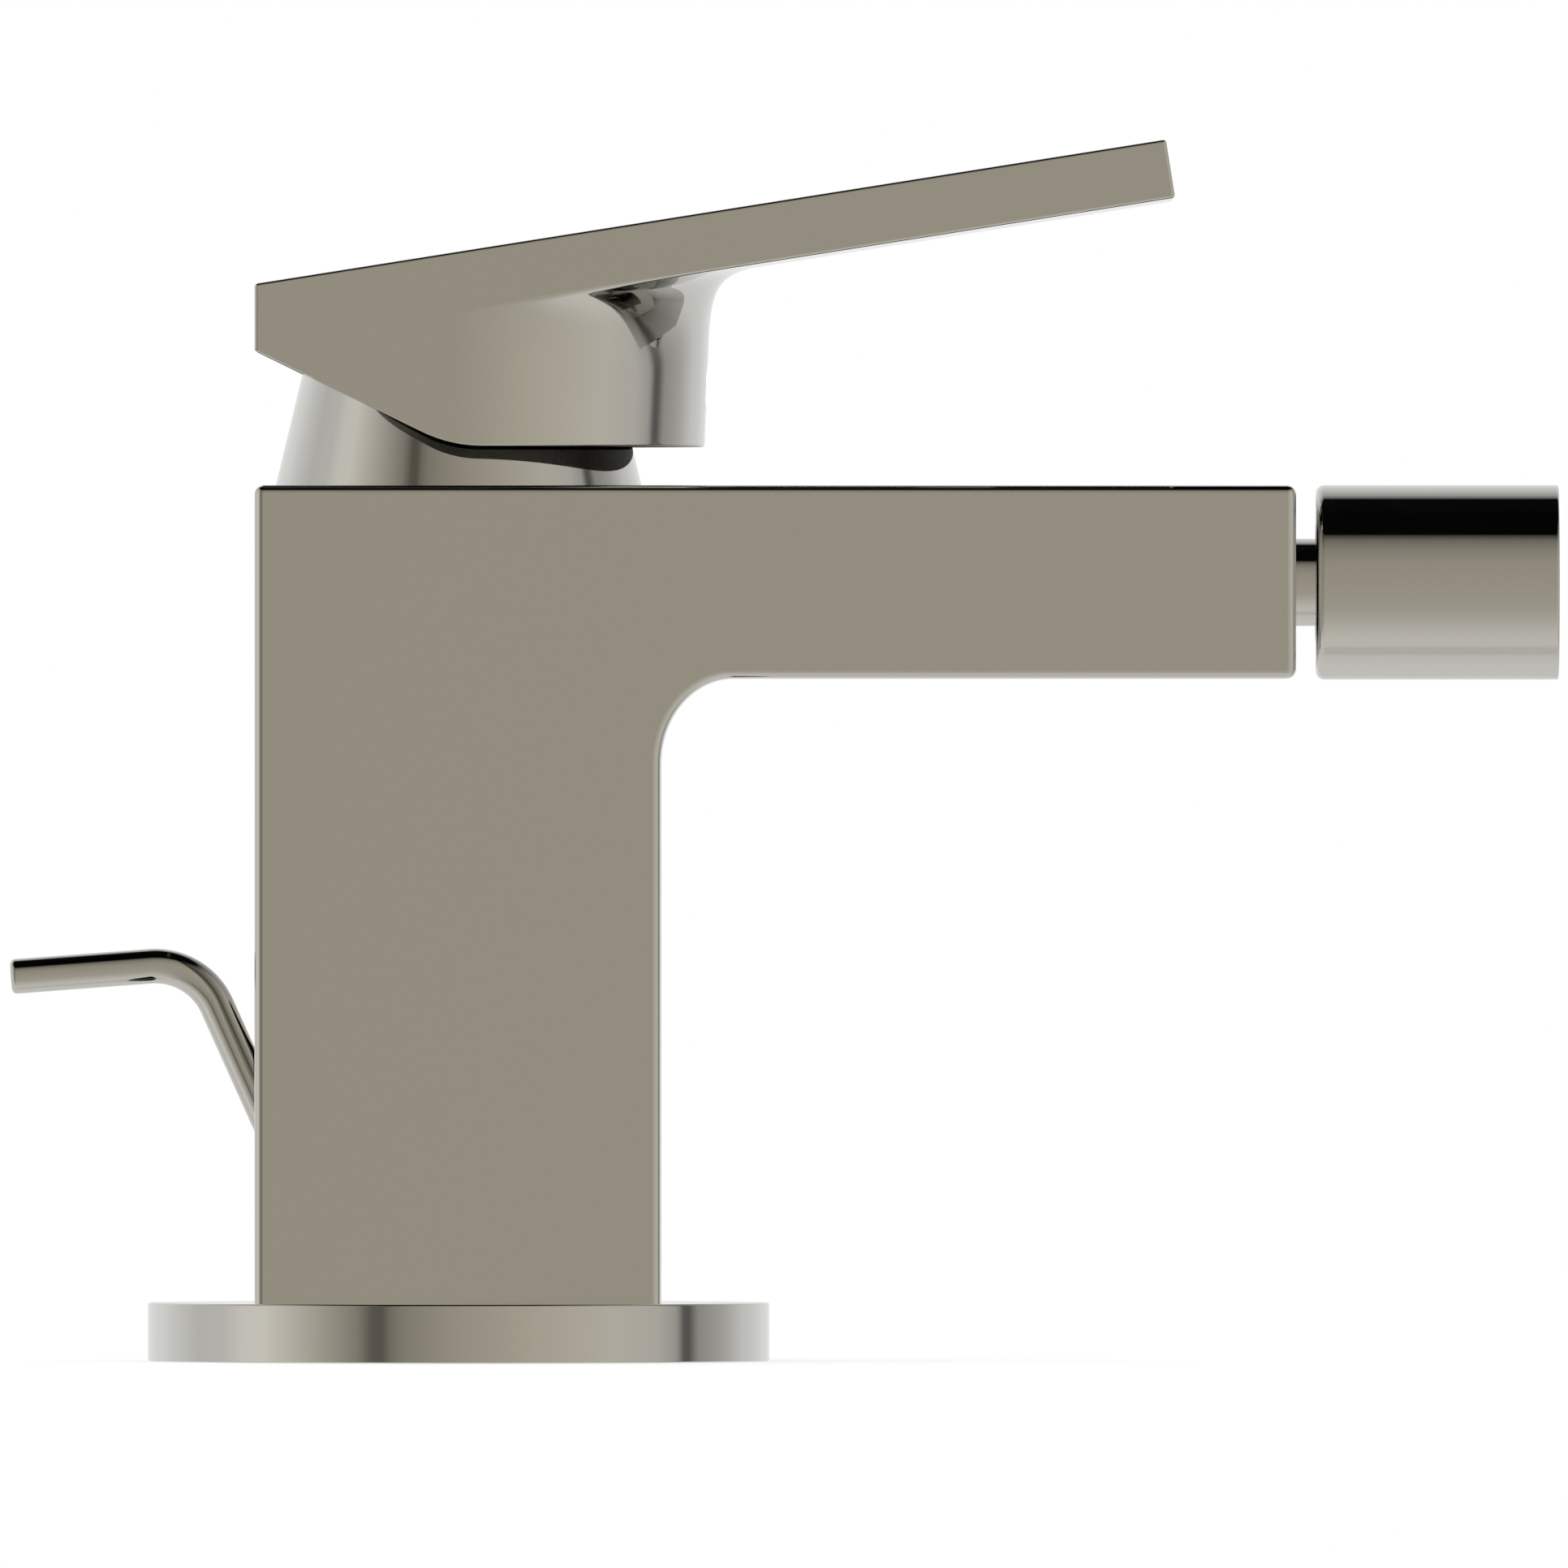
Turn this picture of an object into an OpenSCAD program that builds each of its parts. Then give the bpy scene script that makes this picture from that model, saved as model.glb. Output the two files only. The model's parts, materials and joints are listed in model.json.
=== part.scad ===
// Single-lever bidet mixer with a square column, a swivelling spray nozzle and a pop-up rod.
// The origin is on the column's axis at the deck, +X points to the nozzle and +Z up.

/* [Body] */
// Width and depth of the square column, the arm and the handle
body_w = 50; // [48:0.5:60]
// Height of the body's top face above the deck
body_top = 107.9; // [100:0.1:130]
// Height of the arm's section
arm_h = 23.75; // [23:0.25:32]
// Reach of the arm's end face from the column's axis
arm_reach = 103.15; // [80:0.05:160]
// Radius on the outer edges of the casting
edge_r = 1.1; // [0.5:0.1:2]
// Depth of the elliptic fillet under the arm, along the arm
fillet_x = 9; // [4:0.5:16]
// Height of the elliptic fillet under the arm
fillet_z = 10.5; // [4:0.5:20]
// Wall of the cored column and arm
body_wall = 3.5; // [2.5:0.25:4.5]
// Thickness of the brass between the cartridge seat and the hollow below it
seat_floor = 8; // [6:0.5:12]
// Thickness of the rim that closes the column's foot
foot_floor = 4.8; // [3:0.1:8]
// Thickness of the brass at the end of the arm, which holds the nipple's thread
end_wall = 10; // [8:0.5:14]

/* [Base flange] */
// Thickness of the round flange on the deck
flange_t = 7.2; // [5:0.1:12]
// How far the flange stands out past the column's corners
flange_rim = 3; // [1:0.1:12]
// Radius on the flange's top edge
flange_edge_r = 0.3; // [0.2:0.1:1]
// Outer radius of the column's locating spigot in the flange
spigot_r = 21; // [20:0.1:22]
// Radius of the way through the foot for hoses, stud and rod
foot_bore_r = 17.5; // [17:0.1:18]
// Depth of the groove for the flange's seal
flange_seal_t = 1.6; // [1:0.1:2.5]
// Radial width of the flange's seal
flange_seal_w = 5.4; // [3:0.1:7]

/* [Water connections] */
// Distance of each inlet from the column's axis
inlet_y = 9; // [8.6:0.1:9.6]
// Radius of the drilled waterway to the cartridge
inlet_r = 3.6; // [2.5:0.1:4]
// Wall radius of the hose thread, M10 x 1
hose_r = 4.45; // [4:0.05:4.8]
// Depth of the hose thread
hose_depth = 13; // [8:0.5:20]
// Outer radius of the pipe from each hose thread to the cartridge's seat
pipe_r = 5.4; // [5:0.1:6]
// Depth of the sockets that the pipes are brazed in
pipe_socket = 4; // [3:0.5:5]
// Distance of the fixing stud from the column's axis
stud_x = 11.6; // [11:0.1:12]
// Wall radius of the stud's thread, M8
stud_r = 3.4; // [3.3:0.1:4]
// Depth of the stud's thread
stud_depth = 18; // [12:1:24]

/* [Handle] */
// Gap between the body's top and the hub's lower edge
hub_gap = 4.85; // [4.5:0.05:8]
// Height of the handle's rear top edge above the hub's lower edge
hub_h = 19.95; // [19.5:0.05:26]
// Height of the handle's plain rear face
rear_h = 8.15; // [6:0.05:12]
// Slope of the cut under the handle's rear, in degrees
rear_cut = 26.1; // [22:0.1:30]
// Radius where the rear cut meets the hub's flat lower edge
rear_cut_r = 17; // [8:0.5:24]
// Reach of the hub's elliptic nose from the axis, at its lower edge
nose_x = 30.35; // [29:0.05:34]
// Forward draft of the nose, in degrees
nose_draft = 2.3; // [0.5:0.1:5]
// Reach of the hollow between the nose and the lever, both ways from their corner
nose_blend = 9; // [5:0.5:12]
// How tightly the hollow keeps to its corner, as a share
nose_pull = 0.9; // [0.5:0.05:1]
// Upward tilt of the lever, in degrees
lever_tilt = 9; // [4:0.5:14]
// Thickness of the lever's plate
lever_t = 7.3; // [6:0.1:10]
// Reach of the lever's top edge from the axis
lever_reach = 87.15; // [60:0.05:110]
// How far the lever's tip lifts to open the water, in degrees
lift_max = 25; // [15:1:25]

/* [Cone cover] */
// Outer radius of the cone at the body's top
cone_r = 22.6; // [22.2:0.1:23]
// Half angle of the cone
cone_angle = 13.2; // [9:0.1:15]
// Height of the cone
cone_h = 14; // [12.5:0.1:14.2]
// Radius of the opening that the lever's stem comes out of
cone_opening_r = 15; // [14.5:0.1:16]
// Thickness of the cone's top lip
cone_lip = 2; // [1.5:0.1:2.5]
// Clearance between the cone and the hub's bore, at the hub's lower edge
hub_clearance = 0.94; // [0.6:0.02:1.2]

/* [Cartridge] */
// Outer radius of the ceramic cartridge, 35 mm size
cartridge_r = 17.5; // [17:0.1:18]
// Height of the lever's pivot above the body's top
pivot_rise = 4.1; // [3.5:0.1:4.6]
// Depth of the cartridge's seat below the body's top
seat_depth = 25.9; // [25:0.1:32]
// Thickness of each ceramic disc
disc_t = 3; // [2.5:0.1:3.2]
// Radius of the moving ceramic disc
moving_disc_r = 10.5; // [10:0.1:11]
// Distance of the closed moving disc behind the axis
disc_offset = 3; // [2.4:0.1:3.4]
// Width of the lever's square stem
stem_w = 8; // [7:0.1:8.4]
// Height of the stem's top above the pivot
stem_top = 21.2; // [19:0.1:21.4]
// Length of the stem below the pivot, to the centre of its ball end
stem_arm = 14; // [13.4:0.1:14.4]
// Radius of the stem's pivot pin
pin_r = 1.5; // [1:0.1:1.8]
// Radius of the retaining nut's thread
nut_r = 20; // [19.5:0.1:21]
// Radius of the turret's neck, which carries the pivot pin
rotor_neck_r = 12.5; // [12:0.1:13]

/* [Grub screw] */
// Height of the grub screw's hole above the hub's lower edge
grub_rise = 7.3; // [6.5:0.1:8]
// Upward slope of the grub screw, in degrees
grub_slope = 21.4; // [21:0.1:23]
// Radius of the grub screw, M5
grub_r = 2.5; // [2:0.1:2.6]
// Length of the grub screw
grub_len = 9; // [6:0.5:12]

/* [Swivel nozzle] */
// Gap between the arm's end and the nozzle's casing
nozzle_gap = 2.6; // [2.4:0.1:6]
// Outer radius of the nozzle's casing
nozzle_r = 12; // [11.9:0.1:13]
// Length of the nozzle's casing
nozzle_len = 30; // [28:0.5:45]
// Radius of the nipple's neck
neck_r = 5.4; // [5:0.1:5.6]
// Radius of the ball on the nipple
ball_r = 8.5; // [8.4:0.05:8.7]
// Distance of the ball's centre behind the casing's rear face
ball_depth = 8; // [7.6:0.1:8.6]
// Radius of the waterway through the nipple
nipple_bore_r = 3.4; // [2.5:0.1:3.8]
// Thickness of the spherical liner round the ball
liner_t = 1.2; // [0.9:0.05:1.3]
// Radius of the casing's bore
casing_bore_r = 10.25; // [10.2:0.05:10.6]
// Depth of the outlet grid inside the casing's front edge
outlet_recess = 1.1; // [0.5:0.1:3]
// Number of rings of holes in the outlet grid
grid_rings = 4; // [2:1:5]
// Radius of each hole in the outlet grid
grid_hole_r = 0.65; // [0.4:0.05:0.8]

/* [Pop-up rod] */
// Radius of the rod
rod_r = 2.15; // [1.75:0.05:2.5]
// Height at which the rod's axis enters the column's rear face
rod_entry = 33.05; // [31:0.05:44]
// Lean of the rod from the vertical, in degrees
rod_lean = 24.2; // [22:0.1:27]
// Length of the rod's leaning part outside the column
rod_rise = 17.6; // [12:0.1:40]
// Inner slope of the rod's upper run, in degrees
rod_top_slope = 4.3; // [0:0.1:20]
// Reach of the rod's upper run from its corner
rod_run = 23.1; // [12:0.1:40]
// Radius of the rod's bend, at its centreline
rod_bend_r = 8.3; // [5:0.1:10]
// Radius on the rod's upper end
rod_end_r = 0.65; // [0.2:0.05:1.5]
// Height of the rod's lower end above the deck
rod_foot = 2; // [1:0.5:6]
// Length of the rod's guide bush
bush_len = 12; // [8:0.5:13]
// Wall of the guide bush
bush_t = 1.3; // [0.8:0.1:1.6]

/* [Fits] */
// Running clearance of pins, shafts and spherical seats, on the radius
run_gap = 0.05; // [0.03:0.01:0.08]
// Clearance between pieces that only lie in each other
seat_gap = 0.1; // [0.05:0.01:0.15]
// Clearance between moving pieces that must not touch
free_gap = 0.4; // [0.3:0.05:0.5]

/* [Hidden] */
nickel = "#c4bcae";
brass = "#c8a45a";
acetal = "#e8e6dc";
dark_plastic = "#3a3c40";
rubber_colour = "#26272a";
ceramic = "#f2efe8";
steel = "#a9abad";
$fn = 96;
cut = 1;
half = body_w / 2;
diagonal = sqrt(2);
arc_steps = 6;

// Levels of the column
arm_z = body_top - arm_h;
axis_z = body_top - arm_h / 2;
flange_r = half * diagonal + flange_rim;
spigot_z = 0.6;
seat_z = body_top - seat_depth;
hollow_top = seat_z - seat_floor;
foot_top = flange_t + foot_floor;
seal_out_r = flange_r - 3;

// Levels of the cartridge, upwards from its seat
base_flange_t = 4;
spigot_t = 3;
chamber_r = cartridge_r + 2.5 * seat_gap;
housing_z = seat_z + base_flange_t;
disc_z = housing_z + spigot_t;
moving_z = disc_z + disc_t;
carriage_z = moving_z + disc_t;
pivot_z = body_top + pivot_rise;
ball_end_z = pivot_z - stem_arm;
ball_end_r = 2.4;
shank_r = 2.1;
turret_z = ball_end_z + 1.8;
turret_flange_t = 2.15;
housing_wall = 2.2;
housing_bore_r = cartridge_r - housing_wall;
shoulder_z = turret_z + turret_flange_t + seat_gap / 2 + 2;
collar_top = shoulder_z + 6;
collar_r = rotor_neck_r + run_gap + 2;
turret_top = pivot_z + 4;
port_r = 3.2;
seal_lip = 1.2;
outlet_x = 8;
port_z0 = seat_z + 1.2;
port_h = 11.3;
port_z1 = port_z0 + port_h;
port_w = 16;
locating_x = 12.5;
locating_r = 1.8;
locating_len = 2.5;
seal_tube = 0.75;
seal_groove = 1.3;
seal_z = port_z1 + 1.1;
slot_front = (pivot_z - turret_z) * tan(lift_max) + shank_r / cos(lift_max) + 1;
slot_rear = (turret_top - pivot_z) * tan(lift_max) + stem_w / 2 / cos(lift_max) + 0.8;

// The nut and what screws on it
nut_z = shoulder_z - 5.5;
nut_skirt_r = chamber_r + seat_gap / 2;
nut_collar_r = nut_r - 1.2;
nut_top = body_top + 5.2;
cone_relief_r = cone_opening_r + 2.2;
function cone_at(h) = cone_r - h * tan(cone_angle);

// Levels and points of the handle
hub_z = body_top + hub_gap;
rear_top = hub_z + hub_h;
rear_low = rear_top - rear_h;
lever_drop = lever_t / cos(lever_tilt);
function lever_top(x) = rear_top + (x + half) * tan(lever_tilt);
function lever_low(x) = lever_top(x) - lever_drop;
handle_bore_r = cone_at(hub_gap) + hub_clearance;
rear_relief_r = cone_at(cone_h) + 1.3;
cone_top = body_top + cone_h;
front_ceiling = cone_top + free_gap;
corner_r = norm([cone_at(cone_h), cone_top - pivot_z]);
corner_angle = atan2(cone_top - pivot_z, cone_at(cone_h));
rear_ceiling = pivot_z + corner_r * sin(corner_angle + lift_max) + free_gap;
socket_r = stem_w / 2 * diagonal + 1.9;
socket_z = cone_top - 0.9;
socket_top = pivot_z + stem_top + seat_gap;
grub_z = hub_z + grub_rise;
nose_at_grub = nose_x + grub_rise * tan(nose_draft);
grub_tip_x = stem_w / 2 + seat_gap;

// Places along the nozzle, from the arm's end face
casing_x = arm_reach + nozzle_gap;
ball_x = casing_x + ball_depth;
nozzle_end = casing_x + nozzle_len;
nipple_thread_r = 8;
liner_in = ball_r + run_gap;
liner_out = liner_in + liner_t;
seat_sphere = liner_out + run_gap;
liner_rear = -5.4;
liner_front = 1.5;
casing_hole_r = neck_r + 2;
seal_x = ball_x + 3.4;
seal_len = 3;
gland_x = seal_x + seal_len + run_gap;
gland_len = 3.5;
washer_x = gland_x + gland_len;
washer_len = 1.5;
insert_x = washer_x + washer_len;
insert_r = casing_bore_r - run_gap;
insert_end = nozzle_end - outlet_recess;
insert_wall = 1.6;
grid_t = 1.2;
grid_pitch = 1.85;
regulator_t = 2.5;

// Directions and points of the rod, in the plane of symmetry
rod_down = [sin(rod_lean), -cos(rod_lean)];
rod_out = [-cos(rod_top_slope), -sin(rod_top_slope)];
rod_corner = [-half, rod_entry] - rod_rise * rod_down;
rod_turn = 90 + rod_top_slope - rod_lean;
rod_tangent = rod_bend_r * tan(rod_turn / 2);
rod_tail = (rod_entry - rod_foot) / cos(rod_lean);
bush_start = 10;
bush_r = rod_r + run_gap + bush_t;
guide_r = bush_r + 2;
rod_way_r = rod_r + 0.6;

// The block in the column's foot, whose flat rear face stays clear of the rod
block_t = max(stud_depth + 3, hose_depth + pipe_socket + 4);
block_top = flange_t + block_t;
rod_front_x = -half + (rod_entry - flange_t) * tan(rod_lean) + rod_r / cos(rod_lean);
block_rear_x = min(rod_front_x + 2.5, -hose_r - 2);

// Rectangle from x0, y0 to x1, y1 with rounded corners
function round_rect(x0, y0, x1, y1, r) = [
    for (c = [[x1 - r, y0 + r, -90], [x1 - r, y1 - r, 0], [x0 + r, y1 - r, 90], [x0 + r, y0 + r, 180]])
        for (i = [0:arc_steps])
            let (a = c[2] + 90 * i / arc_steps)
                [c[0] + r * cos(a), c[1] + r * sin(a)]
];

// Points of an arc round c, from angle a0 to a1
function arc(c, r, a0, a1, steps) = [
    for (i = [0:steps])
        let (a = a0 + (a1 - a0) * i / steps)
            c + r * [cos(a), sin(a)]
];

// Turns a profile drawn in X and Z into a plate of width w about the plane of symmetry
module side_plate(w) {
    translate([0, w / 2, 0])
        rotate([90, 0, 0])
            linear_extrude(w)
                children();
}

// Lays what is built up along Z down along the nozzle's axis, from x
module along_nozzle(x) {
    translate([x, 0, axis_z])
        rotate([0, 90, 0])
            children();
}

// Lays what is built up along Z along the leaning rod, downwards from the rear face at distance s
module along_rod(s) {
    translate([-half + s * rod_down[0], 0, rod_entry + s * rod_down[1]])
        rotate([0, 180 - rod_lean, 0])
            children();
}

module ring(r_out, r_in, h) {
    difference() {
        cylinder(r = r_out, h = h);
        translate([0, 0, -cut])
            cylinder(r = r_in, h = h + 2 * cut);
    }
}

module o_ring(r_centre, r_tube) {
    rotate_extrude()
        translate([r_centre, 0])
            circle(r = r_tube, $fn = 32);
}

// Box from lo to hi whose edges are all rounded
module soft_block(lo, hi, r) {
    intersection() {
        translate([0, 0, lo[2]])
            linear_extrude(hi[2] - lo[2])
                polygon(round_rect(lo[0], lo[1], hi[0], hi[1], r));
        translate([lo[0], 0, 0])
            rotate([90, 0, 90])
                linear_extrude(hi[0] - lo[0])
                    polygon(round_rect(lo[1], lo[2], hi[1], hi[2], r));
        side_plate(hi[1] - lo[1])
            polygon(round_rect(lo[0], lo[2], hi[0], hi[2], r));
    }
}

module box(lo, hi) {
    translate(lo)
        cube(hi - lo);
}

// Outside of the casting: column, arm and the elliptic fillet between them
module body_skin() {
    // The column's foot is cut square, without the rounding of its other edges
    intersection() {
        soft_block([-half, -half, flange_t - 2 * edge_r], [half, half, body_top], edge_r);
        box([-body_w, -body_w, flange_t], [body_w, body_w, body_top + cut]);
    }
    soft_block([0, -half, arm_z], [arm_reach, half, body_top], edge_r);
    inside = half - 2 * edge_r;
    side_plate(body_w)
        polygon(concat(
            [[inside, arm_z - fillet_z], [half, arm_z - fillet_z]],
            [for (i = [1:2 * arc_steps - 1])
                let (a = 90 * i / (2 * arc_steps))
                    [half + fillet_x * (1 - cos(a)), arm_z - fillet_z * (1 - sin(a))]],
            [[half + fillet_x, arm_z], [half + fillet_x, arm_z + cut], [inside, arm_z + cut]]
        ));
}

// Hollows that the casting's cores leave
module body_cores() {
    core = half - body_wall;
    box([-core, -core, foot_top], [core, core, hollow_top]);
    translate([0, 0, spigot_z - cut])
        cylinder(r = foot_bore_r, h = foot_top - spigot_z + 2 * cut);
    box([half, -core, arm_z + body_wall], [arm_reach - end_wall, core, body_top - body_wall]);
}

module body_casting() {
    color(nickel)
    difference() {
        union() {
            difference() {
                union() {
                    body_skin();
                    translate([0, 0, spigot_z])
                        cylinder(r = spigot_r, h = flange_t - spigot_z + edge_r);
                }
                body_cores();
            }
            // Guide for the rod, trimmed flush with the column's rear face
            intersection() {
                along_rod(-10)
                    cylinder(r = guide_r, h = 10 + bush_start + bush_len);
                box([-half + body_wall / 2, -half, flange_t], [half, half, body_top]);
            }
        }
        // Cartridge chamber, its nut's thread and the port into the arm
        translate([0, 0, seat_z])
            cylinder(r = chamber_r, h = seat_depth + cut);
        translate([0, 0, nut_z - seat_gap])
            cylinder(r = nut_r + run_gap, h = body_top - nut_z + seat_gap + cut);
        box([0, -port_w / 2, port_z0], [half + cut, port_w / 2, port_z1]);
        for (side = [-1, 1])
            translate([0, side * inlet_y, hollow_top]) {
                cylinder(r = inlet_r, h = seat_floor + cut);
                translate([0, 0, -cut])
                    cylinder(r = pipe_r + seat_gap, h = pipe_socket + cut);
            }
        for (side = [-1, 1])
            translate([side * locating_x, 0, seat_z - locating_len - seat_gap])
                cylinder(r = locating_r + seat_gap, h = locating_len + seat_gap + cut, $fn = 32);
        along_nozzle(arm_reach - end_wall - cut)
            cylinder(r = nipple_thread_r + run_gap, h = end_wall + 2 * cut);
        // The rod's way in at the rear, the seat of its bush and its way out below
        along_rod(-10)
            cylinder(r = rod_r + 0.3, h = 10 + bush_start + bush_len);
        along_rod(bush_start)
            cylinder(r = bush_r + run_gap, h = bush_len + 6);
        along_rod(bush_start + bush_len)
            cylinder(r = rod_way_r, h = rod_tail - bush_start - bush_len + 6);
    }
}

// Block brazed in the column's foot, with the threads for the two hoses and the fixing stud
module inlet_block() {
    color(brass)
    difference() {
        intersection() {
            translate([0, 0, flange_t])
                cylinder(r = foot_bore_r - run_gap, h = block_t);
            box([block_rear_x, -half, flange_t - cut], [half, half, block_top + cut]);
        }
        for (side = [-1, 1])
            translate([0, side * inlet_y, flange_t]) {
                translate([0, 0, -cut])
                    cylinder(r = hose_r, h = hose_depth + cut);
                cylinder(r = inlet_r, h = block_t);
                translate([0, 0, block_t - pipe_socket])
                    cylinder(r = pipe_r + seat_gap, h = pipe_socket + cut);
            }
        translate([stud_x, 0, flange_t - cut])
            cylinder(r = stud_r, h = stud_depth + cut);
        // The rod's way, which meets the block only where the rod enters high up
        along_rod(bush_start + bush_len)
            cylinder(r = rod_way_r, h = rod_tail - bush_start - bush_len + 6);
    }
}

// Waterways from the block up to the cartridge's seat
module inlet_pipes() {
    color(brass)
    for (side = [-1, 1])
        translate([0, side * inlet_y, block_top - pipe_socket])
            ring(pipe_r, inlet_r, hollow_top - block_top + 2 * pipe_socket);
}

module base_flange() {
    color(nickel)
    difference() {
        rotate_extrude()
            polygon(concat(
                [[spigot_r + seat_gap, 0], [flange_r, 0]],
                arc([flange_r - flange_edge_r, flange_t - flange_edge_r], flange_edge_r, 0, 90, 4),
                [[spigot_r + seat_gap, flange_t]]
            ));
        translate([0, 0, -cut])
            ring(seal_out_r, seal_out_r - flange_seal_w, flange_seal_t + cut);
    }
}

module base_seal() {
    color(rubber_colour)
        ring(seal_out_r - run_gap, seal_out_r - flange_seal_w + run_gap, flange_seal_t);
}

module cone_cover() {
    lip_z = cone_top - cone_lip;
    top_edge = 0.4;
    color(nickel)
    rotate_extrude()
        polygon(concat(
            [[nut_collar_r + run_gap, body_top], [cone_r, body_top]],
            arc([cone_at(cone_h) - top_edge, cone_top - top_edge], top_edge, 0, 90, 4),
            [
                [cone_opening_r, cone_top],
                [cone_opening_r, lip_z],
                [cone_relief_r, lip_z],
                [cone_relief_r, nut_top + seat_gap],
                [nut_collar_r + run_gap, nut_top + seat_gap]
            ]
        ));
}

// Threaded ring that holds the cartridge down and carries the cone
module cartridge_nut() {
    notch = 3;
    color(brass)
    difference() {
        union() {
            translate([0, 0, nut_z])
                cylinder(r = nut_r, h = body_top - nut_z);
            translate([0, 0, nut_z])
                cylinder(r = nut_collar_r, h = nut_top - nut_z);
        }
        translate([0, 0, nut_z - cut])
            cylinder(r = nut_skirt_r, h = shoulder_z - nut_z + cut);
        translate([0, 0, nut_z])
            cylinder(r = collar_r + seat_gap, h = nut_top - nut_z + cut);
        for (a = [45:90:315])
            rotate([0, 0, a])
                box([collar_r, -notch / 2, nut_top - 2], [nut_r, notch / 2, nut_top + cut]);
    }
}

module cartridge_housing() {
    color(acetal)
    difference() {
        union() {
            translate([0, 0, housing_z])
                cylinder(r = cartridge_r, h = shoulder_z - housing_z);
            translate([0, 0, housing_z])
                cylinder(r = collar_r, h = collar_top - housing_z);
        }
        translate([0, 0, housing_z - cut])
            cylinder(r = housing_bore_r, h = shoulder_z - 2 - housing_z + cut);
        translate([0, 0, housing_z])
            cylinder(r = rotor_neck_r + run_gap, h = collar_top - housing_z + cut);
        // Groove for the seal above the outlet port
        translate([0, 0, seal_z - seal_tube - seat_gap])
            ring(cartridge_r + cut, cartridge_r - seal_groove, 2 * (seal_tube + seat_gap));
    }
}

module housing_seal() {
    color(rubber_colour)
    translate([0, 0, seal_z])
        o_ring(chamber_r - run_gap / 2 - seal_tube, seal_tube);
}

// Lower part of the cartridge, with two inlets, one outlet and two locating pegs
module cartridge_base() {
    color(dark_plastic)
    difference() {
        union() {
            translate([0, 0, seat_z])
                cylinder(r = cartridge_r, h = base_flange_t);
            translate([0, 0, seat_z])
                cylinder(r = housing_bore_r - run_gap, h = base_flange_t + spigot_t);
            for (side = [-1, 1])
                translate([side * locating_x, 0, seat_z - locating_len])
                    cylinder(r = locating_r, h = locating_len + cut, $fn = 32);
        }
        for (side = [-1, 1])
            translate([0, side * inlet_y, seat_z]) {
                translate([0, 0, -cut])
                    cylinder(r = port_r, h = base_flange_t + spigot_t + 2 * cut);
                translate([0, 0, -cut])
                    cylinder(r = port_r + seal_lip, h = seal_lip + cut);
                translate([0, 0, base_flange_t + spigot_t - seal_lip])
                    cylinder(r = port_r + seal_lip, h = seal_lip + cut);
            }
        translate([outlet_x, 0, seat_z + 1.6])
            cylinder(r = port_r, h = base_flange_t + spigot_t);
        translate([outlet_x, 0, disc_z - seal_lip])
            cylinder(r = port_r + seal_lip, h = seal_lip + cut);
        box([outlet_x, -port_r, seat_z + 1.6], [cartridge_r + cut, port_r, seat_z + base_flange_t - 0.4]);
    }
}

module port_seals() {
    color(rubber_colour)
    for (side = [-1, 1])
        translate([0, side * inlet_y, seat_z])
            ring(port_r + seal_lip - run_gap, port_r, seal_lip);
}

module disc_seals() {
    color(rubber_colour)
    for (p = [[0, inlet_y], [0, -inlet_y], [outlet_x, 0]])
        translate([p[0], p[1], disc_z - seal_lip])
            ring(port_r + seal_lip - run_gap, port_r, seal_lip);
}

module fixed_disc() {
    color(ceramic)
    difference() {
        translate([0, 0, disc_z])
            cylinder(r = housing_bore_r - run_gap, h = disc_t);
        for (p = [[0, inlet_y], [0, -inlet_y], [outlet_x, 0]])
            translate([p[0], p[1], disc_z - cut])
                cylinder(r = port_r - 0.2, h = disc_t + 2 * cut);
    }
}

module moving_disc() {
    pocket_r = moving_disc_r - 3.2;
    color(ceramic)
    translate([-disc_offset, 0, moving_z])
        difference() {
            cylinder(r = moving_disc_r, h = disc_t);
            translate([0, 0, -cut])
                cylinder(r = pocket_r, h = disc_t / 2 + cut);
        }
}

// Carries the moving disc under the stem's ball end
module disc_carriage() {
    socket_w = ball_end_r + 0.25;
    carriage_top = turret_z - seat_gap;
    color(acetal)
    difference() {
        translate([-disc_offset, 0, carriage_z])
            cylinder(r = moving_disc_r, h = carriage_top - carriage_z);
        translate([0, 0, ball_end_z - ball_end_r - 0.25])
            cylinder(r = socket_w, h = carriage_top);
    }
}

// Turning top of the cartridge, which carries the stem's pin
module turret() {
    slot = stem_w / 2 + 1.5 * seat_gap;
    color(dark_plastic)
    difference() {
        union() {
            translate([0, 0, turret_z])
                cylinder(r = housing_bore_r - 2 * seat_gap, h = turret_flange_t);
            translate([0, 0, turret_z])
                cylinder(r = rotor_neck_r, h = turret_top - turret_z);
        }
        box([-stem_w / 2 - 0.7, -slot, turret_z - cut], [slot_front, slot, pivot_z]);
        box([-slot_rear, -slot, pivot_z - 6], [stem_w / 2 + 1, slot, turret_top + cut]);
        translate([0, rotor_neck_r + cut, pivot_z])
            rotate([90, 0, 0])
                cylinder(r = pin_r, h = 2 * (rotor_neck_r + cut), $fn = 48);
    }
}

module stem_pin() {
    reach = rotor_neck_r - 1.2;
    color(steel)
    translate([0, reach, pivot_z])
        rotate([90, 0, 0])
            cylinder(r = pin_r, h = 2 * reach, $fn = 48);
}

module lever_stem() {
    hip = 4.5;
    w = stem_w / 2;
    color(brass)
    difference() {
        union() {
            box([-w, -w, pivot_z - hip], [w, w, pivot_z + stem_top]);
            translate([0, 0, ball_end_z])
                cylinder(r = shank_r, h = stem_arm - hip + cut);
            translate([0, 0, ball_end_z])
                sphere(r = ball_end_r);
        }
        translate([0, w + cut, pivot_z])
            rotate([90, 0, 0])
                cylinder(r = pin_r + run_gap, h = 2 * (w + cut), $fn = 48);
    }
}

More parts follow.
